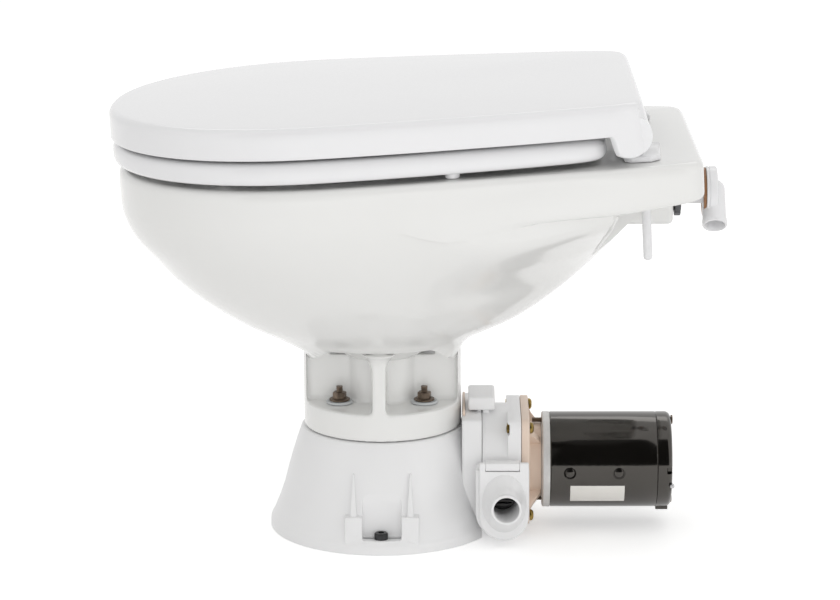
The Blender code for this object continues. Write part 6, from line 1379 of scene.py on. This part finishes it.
drill(adapter, "adapter_bore", (0.0, 0.1100, AXIS_Z), (0.0, 0.1400, AXIS_Z), 0.0113, steps=64)
for x, z in screw_places:
    drill(adapter, "adapter_hole", (x, 0.1100, z), (x, 0.1300, z), SCREW_HOLE, steps=24)
hand_over(adapter, "adapter_plastic", "toilet", "motor_adapter")

# %% [markdown]
# The screws have pan heads with a cross recess. Three end in a thin hexagonal nut that is let into a
# pocket in the front of the flange, and the fourth ends in the outlet block.

# %% Brass screws
for index, (x, z) in enumerate(screw_places):
    in_block = x > 0.0 and z < AXIS_Z
    tip = FLANGE_FRONT + 0.0003 if in_block else 0.1041
    head = [(0.0012, 0.1271), (0.0030, 0.1269), (0.0041, 0.1262), (0.0047, 0.1252), (0.0048, 0.1243),
            (0.0048, 0.1238), (0.0020, 0.1238), (0.0020, tip + 0.0006), (0.0015, tip)]
    screw = turned(f"adapter_bolt_{index + 1}_looks", head, (x, 0.0, z), ALONG_Y, 40)
    for turn in (0.4, 0.4 + math.pi / 2.0):
        slot = bar("slot", (-0.0028, 0.0, -0.0005), (0.0028, 0.0030, 0.0005))
        slot.rotation_euler = (0.0, turn + index * 0.7, 0.0)
        slot.location = (x, 0.1258, z)
        cut(screw, settle(slot))
    if not in_block:
        join(screw, hexagon("nut", (x, 0.1045, z), (x, 0.1066, z), 0.0044, 0.0003))
    hand_over(screw, "brass", "toilet", f"adapter_bolt_{index + 1}")

# %% [markdown]
# ## Motor
# The motor is a drawn steel can under glossy black paint, closed by a rough grey casting in front and by
# a black end bell behind. Round buttons in shallow seats hold the magnets. The label on its side is a bare
# patch of paler film, a fraction of a millimetre thick.

# %% Front casting
MOTOR_R = 0.0405
THROUGH_BOLTS = [("lower", AXIS_Z - 0.0345), ("upper", AXIS_Z + 0.0345)]
front = on_axis("motor_front_plate_looks", [
    (0.0113, 0.1340), (0.0325, 0.1340), (0.0330, 0.1346), (0.0392, 0.1346), (0.0400, 0.1349),
    (MOTOR_R, 0.1356), (MOTOR_R, 0.1410), (0.0113, 0.1410)], closed=True)
for where, z in THROUGH_BOLTS:
    drill(front, "bolt_hole", (0.0, 0.1300, z), (0.0, 0.1450, z), SCREW_HOLE, steps=24)
hand_over(front, "cast_aluminium", "toilet", "motor_front_plate")

# %% Can with its buttons
CAN_FRONT, CAN_REAR = 0.1413, 0.2308
can = on_axis("motor_can_looks", [
    (0.0380, CAN_FRONT), (0.0399, CAN_FRONT), (0.0403, CAN_FRONT + 0.0003), (MOTOR_R, CAN_FRONT + 0.0008),
    (MOTOR_R, 0.1700), (MOTOR_R, 0.2000), (MOTOR_R, CAN_REAR - 0.0006), (0.0402, CAN_REAR),
    (0.0380, CAN_REAR)], 144, closed=True)
for y in (0.1575, 0.1986):
    for sign in (-1.0, 1.0):
        spot = (sign * MOTOR_R, y, AXIS_Z - 0.0010)
        drill(can, "dimple", spot, (spot[0] + sign * 0.0020, y, spot[2]), 0.0052, steps=48)
        button_seat = [(0.0002, -0.0012), (0.0050, -0.0012), (0.0052, -0.0009), (0.0052, 0.0010)]
        cut(can, turned("button_seat", button_seat, spot, (sign, 0.0, 0.0), 48))
        dome = [(0.0046, -0.0016)] + [(0.0074 * math.sin(turn), 0.0074 * math.cos(turn) - 0.0071)
                                      for turn in (math.radians(37.0 - 4.5 * step) for step in range(9))]
        join(can, turned("dome", dome, spot, (sign, 0.0, 0.0), 48))
print("can:", len(can.data.polygons), "faces")

# %% [markdown]
# The label follows the round of the can, so it is a small curved sheet: an arc drawn at the can's radius
# and swept along the motor.

# %% Label patch
label_film = finish("label_film", (0.86, 0.84, 0.80), (0.80, 0.78, 0.74), (0.30, 0.45), patch=60.0,
                    grain=900.0, bump=0.08)


def arc_sheet(name, inner, outer, low, high, front_y, rear_y, steps=24):
    """A curved sheet on the +X side between two angles, measured up from level."""
    outline = []
    for radius, order in ((outer, 1), (inner, -1)):
        for step in range(steps + 1)[::order]:
            angle = math.radians(between(low, high, step / steps))
            outline.append((radius * math.cos(angle), radius * math.sin(angle)))
    return slab(name, outline, (0.0, rear_y, AXIS_Z), rear_y - front_y, ALONG_X, UPWARD)


label = arc_sheet("motor_label_looks", MOTOR_R + 0.00005, MOTOR_R + 0.00022, -44.5, -17.8, 0.1580, 0.2035)
print("label", tuple(round(side, 4) for side in label.dimensions))
hand_over(label, "seat_plastic", "toilet")
label.data.materials[0] = label_film
hand_over(can, "motor_black", "toilet", "motor_can")

# %% End bell
bell = on_axis("motor_end_bell_looks", [
    (0.0370, 0.2311), (0.0400, 0.2311), (MOTOR_R, 0.2316), (MOTOR_R, 0.2392), (0.0402, 0.2406),
    (0.0394, 0.2420), (0.0382, 0.2430), (0.0366, 0.2435), (0.0230, 0.2435), (0.0225, 0.2428),
    (0.0120, 0.2424), (0.0002, 0.2424)], 144)
cut(bell, on_axis("cavity", [
    (0.0370, 0.2300), (0.0370, 0.2398), (0.0118, 0.2398), (0.0118, 0.2353), (0.0083, 0.2353),
    (0.0083, 0.2399), (0.0002, 0.2399)]))
join(bell, bar("motor_foot", (-0.0110, 0.2311, 0.0132), (0.0110, 0.2415, 0.0190), 0.0007, 3))
for side, sign in SIDES:
    cut(bell, side_bar("rim_notch", sign, 0.0345, 0.0430, (0.2389, 0.0530), (0.2460, 0.0586), 0.0006, 2))
    cut(bell, side_bar("screw_notch", sign, 0.0350, 0.0430, (0.2412, 0.0362), (0.2460, 0.0448), 0.0010))
    screw = [(0.0004, 0.0398), (0.0017, 0.0396), (0.0020, 0.0390), (0.0020, 0.0366), (0.0012, 0.0366),
             (0.0012, 0.0340)]
    screw = turned(f"bell_screw_{side}_looks", screw, (0.0, 0.2432, 0.0422), (sign, 0.0, 0.0), 24)
    hand_over(screw, "stainless_steel", "toilet")
for where, z in THROUGH_BOLTS:
    drill(bell, "bolt_hole", (0.0, 0.2330, z), (0.0, 0.2480, z), SCREW_HOLE, steps=24)
hand_over(bell, "motor_black", "toilet", "motor_end_bell")

# %% [markdown]
# Two long bolts run through the motor from the end bell to the front casting, where their threaded tips
# stand out.

# %% Through bolts
for where, z in THROUGH_BOLTS:
    bolt = rod(f"through_bolt_{where}_looks", (0.0, 0.1400, z), (0.0, 0.2445, z), 0.0021, steps=32)
    join(bolt, threaded("tip", (0.0, 0.1265, z), (0.0, 0.1420, z), 0.0021, 0.0009, 0.0003, steps=16))
    join(bolt, hexagon("head", (0.0, 0.2438, z), (0.0, 0.2454, z), 0.0040, 0.0004))
    hand_over(bolt, "dark_steel", "toilet", f"through_bolt_{where}")
